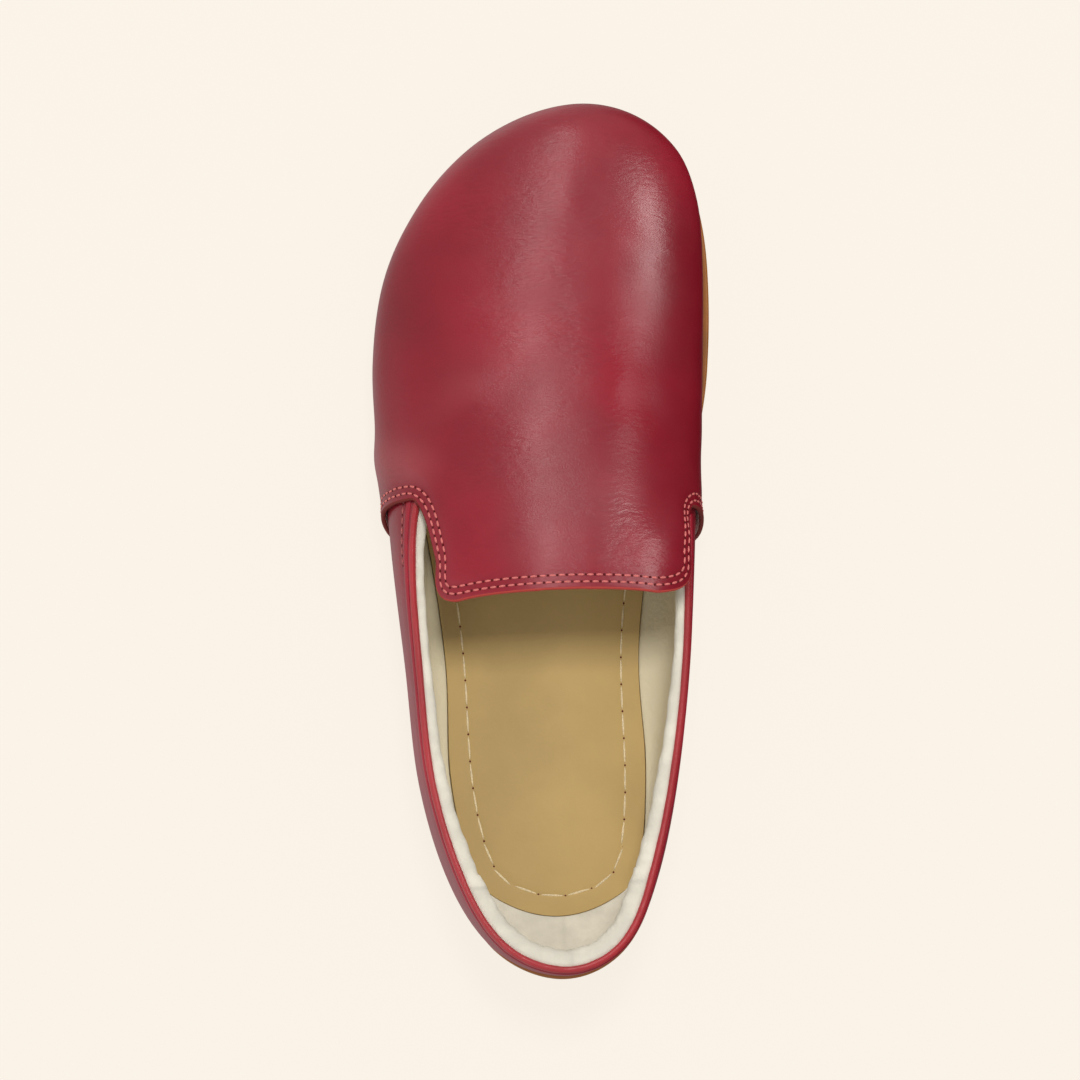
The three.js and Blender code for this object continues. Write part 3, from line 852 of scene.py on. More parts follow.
def evened(path, rounds, closed=False):
    """A path with its small wobbles and corners taken out; the ends of an open one stay."""
    for _ in range(rounds):
        after = path / 2 + (np.roll(path, 1, axis=0) + np.roll(path, -1, axis=0)) / 4
        if not closed:
            after[[0, -1]] = path[[0, -1]]
        path = after
    return path


def drawn_in(plan, distance):
    """A closed plan line moved inward by a distance, its corners rounded as it goes."""
    plan = evened(plan, int(INSET_ROUNDS * distance), closed=True)
    along = unit(np.roll(plan, -1, axis=0) - np.roll(plan, 1, axis=0))
    return plan + np.stack([-along[:, 1], along[:, 0]], axis=-1) * distance


def plate(plan, rings, cap_steps, first_top):
    """A closed plate from its plan line and edge rings, each (inset, height over the floor), capped inside.

    Kinds are 0 from the edge's band that is counted as the first of the top, and 1 under it.
    """
    spine = spine_point(ROUND)

    def sprung(line, height):
        return with_height(line, height + spring(line[:, 1]))

    def capped(line, height):
        shares = np.linspace(0, 1, cap_steps + 1)[1:]
        return [sprung(line + (spine - line) * share, height) for share in shares]

    lines = [drawn_in(plan, inset) for inset, _ in rings]
    edge = [sprung(line, height) for line, (_, height) in zip(lines, rings)]
    under = capped(lines[0], rings[0][1])[::-1]
    over = capped(lines[-1], rings[-1][1])
    under[0] = under[0][: STATIONS + 1]
    over[-1] = over[-1][: STATIONS + 1]
    points, quads = ring_mesh(under + edge + over)
    bands = np.arange(len(quads)) // (2 * STATIONS) - cap_steps
    return points, quads.tolist(), (bands < first_top).astype(int).tolist()


def bottom_line(offset, joint=0.0, heel=0.0):
    """Plan line an offset outside the last's bottom edge, and more beside the big toe joint and the heel."""
    station = widest_line(ROUND)[:, 1]
    at_joint = smooth_fall(np.abs(station - JOINT_STATION), *JOINT_REACH) * (ROUND < math.pi)
    at_heel = smooth_fall(station, *SWELL_REACH)
    return outline(ROUND, offset + joint * at_joint + heel * at_heel - last_at(ROUND)[1])


def laid_on(path, points, faces):
    """A path laid on a sheet: its nearest points, and the sheet's outward directions there."""
    tree = BVHTree.FromPolygons(points.tolist(), faces)
    found = [tree.find_nearest(Vector(place)) for place in path]
    return np.array([hit[0] for hit in found]), np.array([hit[1] for hit in found])


def free_edge(points, faces):
    """Corners of a sheet's edge above the sole, in order, and the directions out past it."""
    loop = max(open_loops(faces), key=len)
    clear = points[loop, 2] > sole_top(points[loop, 1]) + 3 * GAP
    starts = np.flatnonzero(clear & ~np.roll(clear, 1))
    loop = np.roll(loop, -starts[0])
    clear = np.roll(clear, -starts[0])
    outward = outward_at(points, corner_normals(points, faces), loop)
    return loop[clear], outward[clear]


def distances(points, line, most=12.0, parts=4):
    """Distance of points from a line, each of its steps divided, up to the most that is of use."""
    shares = np.arange(parts) / parts
    steps = line[:-1, None] + (line[1:] - line[:-1])[:, None] * shares[None, :, None]
    places = np.concatenate([steps.reshape(-1, 3), line[-1:]])
    tree = KDTree(len(places))
    for i, place in enumerate(places):
        tree.insert(place, i)
    tree.balance()
    return np.array([min(most, tree.find(place)[2]) for place in points])


def in_frame(points):
    """Places in the shared frame of points in millimetres from the heel's back."""
    return (points * MM + np.array((0, HEEL_Y, 0))).tolist()


def linked(name, data):
    """A new object in the scene."""
    made = bpy.data.objects.new(name, data)
    bpy.context.scene.collection.objects.link(made)
    return made


def new_piece(name, points, faces, materials, kinds=None):
    """Object of points in millimetres and faces, shaded smooth, that rides with the shoe."""
    mesh = bpy.data.meshes.new(name)
    mesh.from_pydata(in_frame(points), [], faces)
    for material in materials:
        mesh.materials.append(material)
    if kinds is not None:
        mesh.polygons.foreach_set("material_index", kinds)
    mesh.shade_smooth()
    piece = linked(name, mesh)
    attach(piece, "root")
    return piece


def carry(piece, name, values):
    """A value for each of a piece's first points, for its materials; the rest have 0."""
    full = np.zeros(len(piece.data.vertices))
    full[: len(values)] = values
    piece.data.attributes.new(name, "FLOAT", "POINT").data.foreach_set("value", full)


# Materials


class Nodes:
    """A node tree in the making, with short calls for its nodes."""

    def __init__(self, tree):
        self.tree = tree

    def put(self, socket, value):
        """A value, or a link from another node's output."""
        if isinstance(value, bpy.types.NodeSocket):
            self.tree.links.new(value, socket)
        else:
            socket.default_value = value

    def node(self, kind, inputs, **settings):
        """A node with its settings and inputs."""
        made = self.tree.nodes.new(kind)
        for name, value in settings.items():
            setattr(made, name, value)
        for name, value in inputs.items():
            self.put(made.inputs[name], value)
        return made

    def times(self, a, b):
        """One value times another."""
        return self.node("ShaderNodeMath", {0: a, 1: b}, operation="MULTIPLY").outputs[0]

    def blend(self, share, a, b):
        """Two values mixed."""
        return self.node("ShaderNodeMix", {0: share, 2: a, 3: b}).outputs[0]

    def ramp(self, value, start, end, low=0.0, high=1.0, way="SMOOTHSTEP"):
        """A value's range turned into another."""
        inputs = {"Value": value, "From Min": start, "From Max": end, "To Min": low, "To Max": high}
        return self.node("ShaderNodeMapRange", inputs, interpolation_type=way).outputs["Result"]


class Look(Nodes):
    """A material in the making."""

    def __init__(self, name):
        self.material = bpy.data.materials.new(name)
        self.material.use_nodes = True
        super().__init__(self.material.node_tree)
        self.surface = self.tree.nodes["Principled BSDF"]
        self.coords = self.node("ShaderNodeTexCoord", {}).outputs["Object"]

    def noise(self, scale, detail=3.0, vector=None, colour=False):
        """Noise over the object's own coordinates; the scale is in waves a metre."""
        vector = self.coords if vector is None else vector
        made = self.node("ShaderNodeTexNoise", {"Vector": vector, "Scale": scale, "Detail": detail})
        return made.outputs["Color" if colour else "Fac"]

    def plus(self, a, b):
        """Two values added."""
        return self.node("ShaderNodeMath", {0: a, 1: b}, operation="ADD").outputs[0]

    def vector(self, operation, a, b):
        """Arithmetic on two vectors."""
        return self.node("ShaderNodeVectorMath", {0: a, 1: b}, operation=operation).outputs[0]

    def mix(self, share, a, b):
        """Two colours mixed."""
        return self.node("ShaderNodeMix", {0: share, 6: a, 7: b}, data_type="RGBA").outputs[2]

    def clouds(self, value, start, end, colour, dark, light):
        """A colour between a dark and a light shade, as a value runs from start to end."""
        return self.mix(self.ramp(value, start, end), shade(colour, dark), shade(colour, light))

    def attribute(self, name):
        """A value that the mesh carries."""
        return self.node("ShaderNodeAttribute", {}, attribute_name=name).outputs["Fac"]

    def bump(self, height, distance):
        """Small relief from a height, in metres."""
        return self.node("ShaderNodeBump", {"Height": height, "Distance": distance}).outputs["Normal"]

    def finish(self, **inputs):
        """The surface's inputs set, by names with underscores for spaces."""
        for name, value in inputs.items():
            self.put(self.surface.inputs[name.replace("_", " ")], value)
        return self.material


def shade(colour, factor):
    """A colour made lighter or darker, with full alpha."""
    return tuple(min(1.0, part * factor) for part in colour) + (1.0,)


def material_named(name, make, *values):
    """A material by its name, made on its first use."""
    return bpy.data.materials.get(name) or make(name, *values)


def red_leather(name, colour, wrinkles, shines=False):
    """Satin leather with clouds of tone, pores and patches of fine cross wrinkles with painted shade in their
    troughs, and painted shade and highlights that the mesh carries; its shine may vary.
    """
    look = Look(name)
    tone = look.clouds(look.noise(26.0, 4.0), 0.3, 0.72, colour, 0.86, 1.12)
    # Painted shade in the pressed stitch lines
    tone = look.mix(look.attribute("crease"), tone, shade(colour, 0.55))
    # Painted shade: the flanks by their tilt and the folds' troughs, darkened towards black
    tone = look.mix(look.attribute("painted_shade"), tone, shade(colour, 0.0))
    # Painted highlight: the folds' ridges made paler
    tone = look.mix(look.attribute("painted_highlight"), tone, HIGHLIGHT_TONE)
    drift = look.vector("MULTIPLY", look.noise(55.0, 2.0, colour=True), (0.007, 0.007, 0.007))
    across = look.vector("MULTIPLY", look.vector("ADD", look.coords, drift), (0.36, 1.0, 0.45))
    lines = look.noise(820.0, 3.0, across)
    patches = look.ramp(look.noise(38.0, 2.0), 0.36, 0.66, 0.10, 1.0)
    # Painted shade in the troughs of the fine cross wrinkles
    groove = look.times(look.ramp(lines, 0.54, 0.36), look.times(patches, 0.15))
    tone = look.mix(groove, tone, shade(colour, 0.55))
    fine = look.times(look.times(lines, patches), wrinkles)
    pores = look.times(look.noise(1700.0, 2.0), 0.22)
    gloss = 0.5
    if shines:
        gloss = look.times(look.plus(look.attribute("shine"), 1.0), gloss)
    return look.finish(
        Base_Color=tone, Roughness=look.ramp(look.noise(90.0, 3.0), 0.25, 0.75, 0.28, 0.34),
        Specular_IOR_Level=gloss, Normal=look.bump(look.plus(fine, pores), 0.00015))


def plain_leather(name, colour, rough, grain_scale, cloud_scale=40.0, spread=0.12):
    """Leather with clouds of tone and an even grain."""
    look = Look(name)
    tone = look.clouds(look.noise(cloud_scale, 4.0), 0.3, 0.7, colour, 1 - spread, 1 + spread)
    grain = look.bump(look.noise(grain_scale), 0.0001)
    return look.finish(Base_Color=tone, Roughness=rough, Specular_IOR_Level=0.4, Normal=grain)


def cut_leather(name, colour, bright_part=True):
    """Cut edge of the upper's leather: dark, partly its own colour and partly painted shade, and bright near
    the flap's rear.
    """
    look = Look(name)
    # The dark tone is partly the edge's own colour and partly painted shade, standing for the shaded cut
    # faces under the laps
    tone = shade(colour, 0.42)
    if bright_part:
        tone = look.mix(look.attribute("bright_cut"), tone, shade(colour, 1.0))
    fibres = look.bump(look.noise(1600.0), 0.00006)
    return look.finish(Base_Color=tone, Roughness=0.6, Specular_IOR_Level=0.15, Normal=fibres)


def soft_lining(name, colour):
    """Pale soft lining with a mottled tone and a fleecy surface, tinted deep inside with painted warm light
    bounced from the insole.
    """
    look = Look(name)
    insole_bounce = tuple(part * share for part, share in zip(colour, BOUNCE_TINT))
    tone = look.clouds(look.noise(150.0, 4.0), 0.35, 0.7, colour, 0.90, 1.05)
    # Painted warm light bounced from the insole, deep inside
    tone = look.mix(look.attribute("insole_bounce"), tone, shade(insole_bounce, 1.0))
    # Darker along the patch's seam and over the patch, with painted shade along the heel's middle crease
    tone = look.mix(look.attribute("crease"), tone, shade(colour, 0.55))
    fleece = look.bump(look.plus(look.noise(900.0), look.noise(120.0, 2.0)), 0.0002)
    return look.finish(
        Base_Color=tone, Roughness=0.9, Specular_IOR_Level=0.2, Sheen_Weight=0.15, Normal=fleece)


def twisted_thread(name, colour):
    """Waxed thread with fine strands."""
    look = Look(name)
    strands = look.noise(2600.0, 1.0)
    tone = look.clouds(strands, 0.35, 0.65, colour, 0.8, 1.1)
    return look.finish(Base_Color=tone, Roughness=0.55, Normal=look.bump(strands, 0.00008))


def sole_edge(name, colour):
    """Waxed cut edge of the sole, with faint layers along it."""
    look = Look(name)
    layers = look.noise(1400.0, 3.0, look.vector("MULTIPLY", look.coords, (0.03, 0.03, 1.0)))
    tone = look.clouds(layers, 0.3, 0.7, colour, 0.72, 1.2)
    return look.finish(
        Base_Color=tone, Roughness=0.38, Coat_Weight=0.15, Coat_Roughness=0.25,
        Normal=look.bump(layers, 0.0001))


def upper_materials(red, colours, shines):
    """Face, cut edge and back of the upper's leathers."""
    return [
        material_named(red, red_leather, tuple(colours.red), 1.0, shines),
        material_named("cut_edge", cut_leather, tuple(colours.cut)),
        material_named("lining_cream", soft_lining, tuple(colours.lining)),
    ]


# Stitches


def stitch_tree():
    """Node tree that sews along a path: threads at an even pitch, with a dark bead of painted shade for the
    needle hole after each.
    """
    tree = bpy.data.node_groups.new("Stitch row", "GeometryNodeTree")
    tree.interface.new_socket("Path", in_out="INPUT", socket_type="NodeSocketGeometry")
    for name in ("Pitch", "Length", "Width", "Height", "Hole"):
        tree.interface.new_socket(name, in_out="INPUT", socket_type="NodeSocketFloat")
    for name in ("Thread", "Dark"):
        tree.interface.new_socket(name, in_out="INPUT", socket_type="NodeSocketMaterial")
    tree.interface.new_socket("Stitches", in_out="OUTPUT", socket_type="NodeSocketGeometry")
    nodes = Nodes(tree)
    node = nodes.node
    given = node("NodeGroupInput", {}).outputs
    curve = node("GeometryNodeMeshToCurve", {"Mesh": given["Path"]}).outputs["Curve"]
    evenly = node("GeometryNodeResampleCurve", {"Curve": curve, "Length": given["Pitch"]}, mode="LENGTH")
    evenly = evenly.outputs["Curve"]
    lift = node("GeometryNodeInputNamedAttribute", {"Name": "lift"}, data_type="FLOAT_VECTOR")
    along = node("GeometryNodeInputTangent", {}).outputs["Tangent"]
    axes = {"Primary Axis": lift.outputs["Attribute"], "Secondary Axis": along}
    turn = node("FunctionNodeAxesToRotation", axes, primary_axis="Z", secondary_axis="X").outputs["Rotation"]

    def sown(points, x, y, z, material):
        bead = node("GeometryNodeMeshUVSphere", {"Segments": 10, "Rings": 6, "Radius": 0.5}).outputs["Mesh"]
        size = node("ShaderNodeCombineXYZ", {"X": x, "Y": y, "Z": z}).outputs["Vector"]
        formed = node("GeometryNodeTransform", {"Geometry": bead, "Scale": size}).outputs["Geometry"]
        places = {"Points": points, "Instance": formed, "Rotation": turn}
        spread = node("GeometryNodeInstanceOnPoints", places).outputs["Instances"]
        real = node("GeometryNodeRealizeInstances", {"Geometry": spread}).outputs["Geometry"]
        return node("GeometryNodeSetMaterial", {"Geometry": real, "Material": material}).outputs["Geometry"]

    half = nodes.times(given["Pitch"], 0.5)
    step = node("ShaderNodeVectorMath", {0: along, "Scale": half}, operation="SCALE").outputs[0]
    between = node("GeometryNodeSetPosition", {"Geometry": evenly, "Offset": step}).outputs["Geometry"]
    hole = given["Hole"]
    both = node("GeometryNodeJoinGeometry", {})
    nodes.put(both.inputs[0], sown(evenly, given["Length"], given["Width"], given["Height"], given["Thread"]))
    nodes.put(both.inputs[0], sown(between, hole, hole, nodes.times(hole, HOLE_FLAT), given["Dark"]))
    smooth = node("GeometryNodeSetShadeSmooth", {"Geometry": both.outputs[0]}).outputs["Geometry"]
    node("NodeGroupOutput", {"Stitches": smooth})
    return tree


def sew(name, rows, pitch, stitch, width, thread, hole=HOLE_WIDE):
    """Stitches along rows of (points, outward directions) in millimetres, as one mesh; sizes in metres."""
    points = np.concatenate([row[0] for row in rows])
    lifts = np.concatenate([row[1] for row in rows])
    edges = []
    first = 0
    for path, _ in rows:
        edges += [(first + i, first + i + 1) for i in range(len(path) - 1)]
        first += len(path)
    mesh = bpy.data.meshes.new(name)
    mesh.from_pydata(in_frame(points), edges, [])
    mesh.attributes.new("lift", "FLOAT_VECTOR", "POINT").data.foreach_set("vector", lifts.ravel())
    piece = linked(name, mesh)
    tree = bpy.data.node_groups.get("Stitch row") or stitch_tree()
    modifier = piece.modifiers.new("Stitch row", "NODES")
    modifier.node_group = tree
    # Needle holes: dark beads of painted shade
    dark = material_named("needle_hole", cut_leather, HOLE_SHADE, False)
    values = {"Pitch": pitch, "Length": stitch, "Width": width, "Height": THREAD_HIGH * width}
    values.update({"Hole": hole * width, "Thread": thread, "Dark": dark})
    for item in tree.interface.items_tree:
        if item.name in values:
            modifier[item.identifier] = values[item.name]
    graph = bpy.context.evaluated_depsgraph_get()
    plain = bpy.data.meshes.new_from_object(piece.evaluated_get(graph), depsgraph=graph)
    piece.modifiers.clear()
    piece.data = plain
    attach(piece, "root")
    return piece


# Pieces


def fold_relief(points):
    """Height of the vamp's soft folds at points."""
    relief = np.zeros(len(points))
    for start_x, start_y, end_x, end_y, half, height in FOLDS:
        start = np.array((start_x, start_y))
        run = np.array((end_x, end_y)) - start
        aside = points[:, :2] - start
        share = np.clip(aside @ run / (run @ run), 0, 1)
        away = np.linalg.norm(aside - share[:, None] * run, axis=1)
        relief += height * bell(away, half)
    return relief


def shine(points):
    """How much more or less the vamp shines at points."""
    total = np.zeros(len(points))
    for x, station, half_wide, half_long, change in SHINE:
        total += change * bell(points[:, 0] - x, half_wide) * bell(points[:, 1] - station, half_long)
    return total


def painted_shade(points, normals):
    """How much painted shade darkens the vamp's flanks, by how far they tilt to the side."""
    along = smooth_step(points[:, 1], *FLANK_SHADE_STARTS) * smooth_fall(points[:, 1], *FLANK_SHADE_ENDS)
    total = np.zeros(len(points))
    for side, depth, start, end in FLANK_SHADE:
        tilt = np.degrees(np.arctan2(side * normals[:, 0], normals[:, 2]))
        total += depth * smooth_step(tilt, start, end)
    return total * along


def make_vamp(sizes, colours):
    """The vamp's leather with its folds and pressed seam lines, and its two stitch rows."""
    leather = sizes.vamp_leather / MM
    rounding = VAMP_ROUND * leather

    def cut(points):
        free = np.minimum(behind_seam(points), outside_flap(points, 0.0))
        return np.maximum(free + rounding, sole_cut(points))

    points, faces = trim(*last_sheet(GAP + leather, 0.0), cut)
    edge, outward = free_edge(points, faces)
    away = distances(points, points[edge])
    first = sizes.first_row / MM - rounding
    rows_at = (first, first + sizes.row_apart / MM)
    half, depth, dark = VAMP_PRESS
    pressed = sum(bell(away - at, half) for at in rows_at)
    folds = fold_relief(points) * sizes.folds * smooth_step(away, *FOLDS_START)
    at_lap = smooth_step(-points[:, 0], *OUTER_LAP) + smooth_step(points[:, 0], *INNER_LAP)
    relief = folds - depth * pressed - RIM_TURN * np.exp(-away / RIM_REACH)
    relief -= SKIVE * smooth_fall(away, *SKIVE_REACH)
    relief += LAP_LIFT * np.exp(-away / LAP_REACH) * at_lap
    relief += FLAP_PROUD * smooth_step(points[:, 0], *PROUD_ACROSS) * smooth_fall(points[:, 1], *PROUD_ALONG)
    normals = corner_normals(points, faces)
    points = points + normals * relief[:, None]
    solid, solid_faces, kinds = leather_shell(points, faces, leather, rounding)
    vamp = new_piece("vamp_leather", solid, solid_faces, upper_materials("vamp_red", colours, True), kinds)
    # Painted shade in the pressed stitch lines
    carry(vamp, "crease", dark * np.clip(pressed, 0, 1))
    # Painted shade on the flanks by their tilt and in the folds' troughs
    carry(vamp, "painted_shade", painted_shade(points, normals) + TROUGH_SHADE * np.maximum(-folds, 0))
    # Painted highlight on the folds' ridges
    carry(vamp, "painted_highlight", np.maximum(HIGHLIGHT_PER_MM * folds, 0))
    carry(vamp, "shine", shine(points))
    carry(vamp, "bright_cut", smooth_fall(solid[:, 1] - FLAP_REAR, *BRIGHT_CUT))
    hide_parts("vamp")
    rows = [laid_on(evened(points[edge] - outward * at, PATH_ROUNDS), points, faces) for at in rows_at]
    thread = material_named("coral_thread", twisted_thread, tuple(colours.thread))
    sew("vamp_stitches", rows, sizes.pitch, sizes.stitch, sizes.thread, thread)


def make_quarters(sizes, colours):
    """The quarters' leather round the heel, with one stitch row under the binding."""
    leather = sizes.quarter_leather / MM

    def cut(points):
        over = points[..., 2] - topline_height(points) + QUARTER_TOP * BINDING_HEIGHT
        ahead = -behind_seam(points) - QUARTER_REACH
        return np.maximum(np.maximum(over, ahead), sole_cut(points))

    points, faces = trim(*last_sheet(0.0, -math.pi), cut)
    under = topline_height(points) - points[:, 2] - BINDING_HEIGHT
    half, depth, dark = QUARTER_PRESS
    pressed = bell(under - QUARTER_ROW, half)
    relief = -depth * pressed - TOP_TURN * np.exp(-np.maximum(under, 0) / TOP_REACH)
    points = points + corner_normals(points, faces) * relief[:, None]
    solid, solid_faces, kinds = leather_shell(points, faces, leather, QUARTER_ROUND * leather)
    materials = upper_materials("quarter_red", colours, False)
    quarters = new_piece("quarter_leather", solid, solid_faces, materials, kinds)
    # Painted shade in the pressed stitch line
    carry(quarters, "crease", dark * pressed)
    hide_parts("upper")
    angles = np.linspace(-angle_at(OUTER_NOTCH + QUARTER_ROW_AHEAD), -angle_at(QUARTER_ROW_END), ROW_STEPS)
    row = laid_on(wall_line(angles, 0.0, BINDING_HEIGHT + QUARTER_ROW), points, faces)
    thread = material_named("wine_thread", twisted_thread, shade(colours.thread, 0.6)[:3])
    sew("quarter_stitches", [row], sizes.pitch, sizes.stitch, sizes.thread, thread)


def lining_roll(slim, full):
    """The lining's soft roll along the topline, slim at the notches and full at the heel."""
    angles = topline_angles(LINING_SHORT)
    station = widest_line(angles)[:, 1]
    wide = slim + (full - slim) * smooth_fall(station, *LINING_ROLL_SLIMS)
    wide = wide * waves(LINING_WAVES) + PATCH_STEP * (station < PATCH_STATION)
    section = [wall_line(angles, -LINING_ROLL_START - share * wide, drop) for share, drop in LINING_ROLL]
    return swept(np.stack(section, axis=1))


def make_lining(sizes, colours):
    """The pale lining of the whole inside, rolled at the binding, with a heel patch sewn on."""
    thickness = sizes.lining / MM

    def on_patch(station):
        return smooth_fall(station, PATCH_STATION - PATCH_EDGE, PATCH_STATION)

    def shift(points, outward):
        station = points[..., 1]
        above = points[..., 2] - sole_top(station) - UPPER_WALL
        bend = 1 - np.sqrt(1 - (1 - np.clip(above / HEEL_BEND, 0, 1)) ** 2)
        moved = -outward * PATCH_STEP * on_patch(station)[..., None]
        moved[..., 1] += bend * np.maximum(0, insole_end(points[..., 0]) + HEEL_UNDER_INSOLE - station)
        return moved

    def cut(points):
        over = points[..., 2] - topline_height(points) + BINDING_HEIGHT
        ahead = OUTER_NOTCH + FLAP_LAP - skewed_station(points)
        opening = np.minimum(np.minimum(over, ahead), outside_flap(points, 2 * FLAP_LAP))
        return np.maximum(opening, sole_cut(points))

    points, quads = last_sheet(-UPPER_WALL, -math.pi, shift)
    points, faces = trim(points, quads[:, ::-1], cut)
    solid, solid_faces, _ = leather_shell(points, faces, thickness, LINING_ROUND * thickness)
    roll = lining_roll(sizes.lining_slim / MM, sizes.lining_full / MM)
    solid, solid_faces = joined(solid, solid_faces, *roll)
    station = solid[:, 1]
    crease = bell(station - PATCH_STATION, PATCH_SEAM) + PATCH_DARK * on_patch(station)
    # Painted shade along the middle crease of the heel
    crease += HEEL_CREASE * bell(solid[:, 0], HEEL_CREASE_HALF) * (station < HEEL_CREASE_END)
    under = topline_height(solid) - solid[:, 2]
    pale = material_named("lining_cream", soft_lining, tuple(colours.lining))
    lining = new_piece("lining", solid, solid_faces, [pale])
    carry(lining, "crease", np.clip(crease, 0, 1) * LINING_CREASE)
    # Painted warm bounce light from the insole, deep inside and towards the heel
    carry(lining, "insole_bounce", smooth_step(under, *BOUNCE_UNDER) * smooth_step(station, *BOUNCE_ALONG))
    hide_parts("upper")


def make_binding(sizes, colours):
    """The rolled strip along the topline, from under the vamp's lap round the heel to the inner notch."""
    angles = topline_angles(BINDING_SHORT)
    middle = wall_line(angles, -ROLL_MIDDLE, BINDING_HEIGHT / 2)
    along = unit(np.gradient(middle, axis=0))
    aside = wall_line(angles, 0.0, BINDING_HEIGHT / 2) - middle
    aside = unit(aside - along * np.sum(aside * along, axis=1, keepdims=True))
    upright = np.cross(aside, along)
    upright = upright * np.sign(upright[:, 2:])
    rings = []
    for turn in np.arange(BINDING_SIDES) * TURN / BINDING_SIDES:
        reach = aside * ROLL_HALF_WIDE * math.cos(turn) + upright * ROLL_HALF_HIGH * math.sin(turn)
        rings.append(middle + reach * waves(BINDING_WAVES)[:, None])
    points, faces = swept(np.stack(rings, axis=1))
    band = np.stack([wall_line(angles, out, drop) for out, drop in BAND_PROFILE], axis=1)
    band_points, band_faces = swept(band[::-1])
    kinds = [0] * len(faces) + [1] * len(band_faces)
    points, faces = joined(points, faces, band_points, band_faces)
    strip = material_named("binding_red", red_leather, tuple(colours.binding), 0.4)
    flat = material_named("band_red", red_leather, shade(colours.red, 1.25)[:3], 0.4)
    binding = new_piece("collar_roll", points, faces, [strip, flat], kinds)
    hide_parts("collar_binding")


def make_outsole(sizes, colours):
    """The amber sole: a flat leather plate with a rounded rim and a waxed cut edge."""
    rings = [(2.2, 0.0), (0.8, 0.0), (0.3, 0.12), (0.05, 0.45), (0.0, 0.9), (0.0, 2.5), (0.0, 4.1)]
    rings += [(0.08, 4.6), (0.35, 4.92), (0.8, SOLE_THICKNESS), (1.6, SOLE_THICKNESS)]
    points, faces, kinds = plate(bottom_line(SOLE_RIM, JOINT_RIM, HEEL_SWELL), rings, SOLE_CAP_STEPS, 0)
    edge = material_named("sole_edge", sole_edge, tuple(colours.sole))
    under = material_named("sole_underside", plain_leather, shade(colours.sole, 0.8)[:3], 0.5, 700.0, 30.0)
    sole = new_piece("outsole_leather", points, faces, [edge, under], kinds)
    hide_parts("outsole")


def make_insole(sizes, colours):
    """The tan insole with a dark cut edge, a pressed line and a stitch row round it."""
    low = SOLE_THICKNESS + GAP
    top = low + INSOLE_THICKNESS
    rings = [(1.0, low), (0.2, low), (0.0, low + 0.4)]
    rings += [(0.0, top - 0.3), (0.06, top - 0.12), (0.2, top - 0.03)]
    edge_bands = len(rings) - 1
    rings += [(0.45, top), (2.5, top)]
    for away, depth in GROOVE:
        rings.append((INSOLE_ROW + away, top - depth))
    rings.append((8.8, top))
    plan = bottom_line(-UPPER_WALL - GAP)
    plan[:, 1] = np.maximum(plan[:, 1], insole_end(plan[:, 0]))
    plan = evened(plan, INSOLE_CORNER_ROUNDS, closed=True)
    points, faces, kinds = plate(plan, rings, INSOLE_CAP_STEPS, edge_bands)
    tan = material_named("insole_tan", plain_leather, tuple(colours.insole), 0.6, 650.0, 22.0, 0.10)
    edge = material_named("insole_edge", plain_leather, shade(colours.insole, 0.4)[:3], 0.7, 900.0)
    insole = new_piece("insole_sock", points, faces, [tan, edge], kinds)
    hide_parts("insole")
    line = np.roll(drawn_in(plan, INSOLE_ROW), STATIONS, axis=0)
    row = with_height(line, top - ROW_DEPTH + spring(line[:, 1]))
    upward = np.repeat([(0.0, 0.0, 1.0)], len(row), axis=0)
    thread = material_named("beige_thread", twisted_thread, tuple(colours.insole_thread))
    pitch = sizes.insole_pitch
    stitch = INSOLE_STITCH_SHARE * pitch
    sew("insole_stitches", [(row, upward)], pitch, stitch, sizes.insole_thread, thread, INSOLE_HOLE_WIDE)


# Studio


def make_sky():
    """World that lights evenly, and is mirrored brighter on the left than on the right and dim underneath."""
    world = bpy.data.worlds.new("studio")
    world.use_nodes = True
    world.cycles.sampling_method = "NONE"
    sky = Nodes(world.node_tree)
    towards = sky.node("ShaderNodeTexCoord", {}).outputs["Generated"]
    parts = sky.node("ShaderNodeSeparateXYZ", {"Vector": towards}).outputs

    def ranged(part, ends, low=0.0, high=1.0):
        return sky.ramp(parts[part], *ends, low, high, "LINEAR")

    across = ranged("X", (-1.0, 1.0))

    def brightness(rows):
        made = sky.node("ShaderNodeValToRGB", {"Fac": across})
        stops = made.color_ramp.elements
        while len(stops) < len(rows):
            stops.new(0.5)
        for stop, (place, bright) in zip(stops, rows):
            stop.position = place
            stop.color = (bright, bright, bright, 1.0)
        return made.outputs["Color"]

    ground = sky.times(brightness(GROUND_STOPS), ranged("Y", GROUND_AHEAD, GROUND_AT_HEEL, 1.0))
    sideways = sky.blend(ranged("Z", HORIZON), ground, brightness(SKY_STOPS))
    left = sky.blend(ranged("X", TO_LEFT), 1.0, ranged("Y", LEFT_ALONG, LEFT_AT_HEEL, LEFT_AT_TOE))
    ahead = ranged("Y", TO_FRONT, 1.0, FRONT_SHARE)
    mirrored = sky.times(sideways, sky.times(left, ahead))
    in_gloss = sky.node("ShaderNodeLightPath", {}).outputs["Is Glossy Ray"]
    background = sky.tree.nodes["Background"].inputs
    sky.put(background["Strength"], sky.blend(in_gloss, SKY_BRIGHT, mirrored))
    sky.put(background["Color"], LIGHT_COLOUR + (1.0,))
    return world


def stand(thing, place, back, upward):
    """Sets a light or the camera at a place, turned by its back and upward directions."""
    side = upward.cross(back).normalized()
    turn = Matrix((side, back.cross(side), back)).transposed().to_4x4()
    thing.matrix_world = Matrix.Translation(place) @ turn


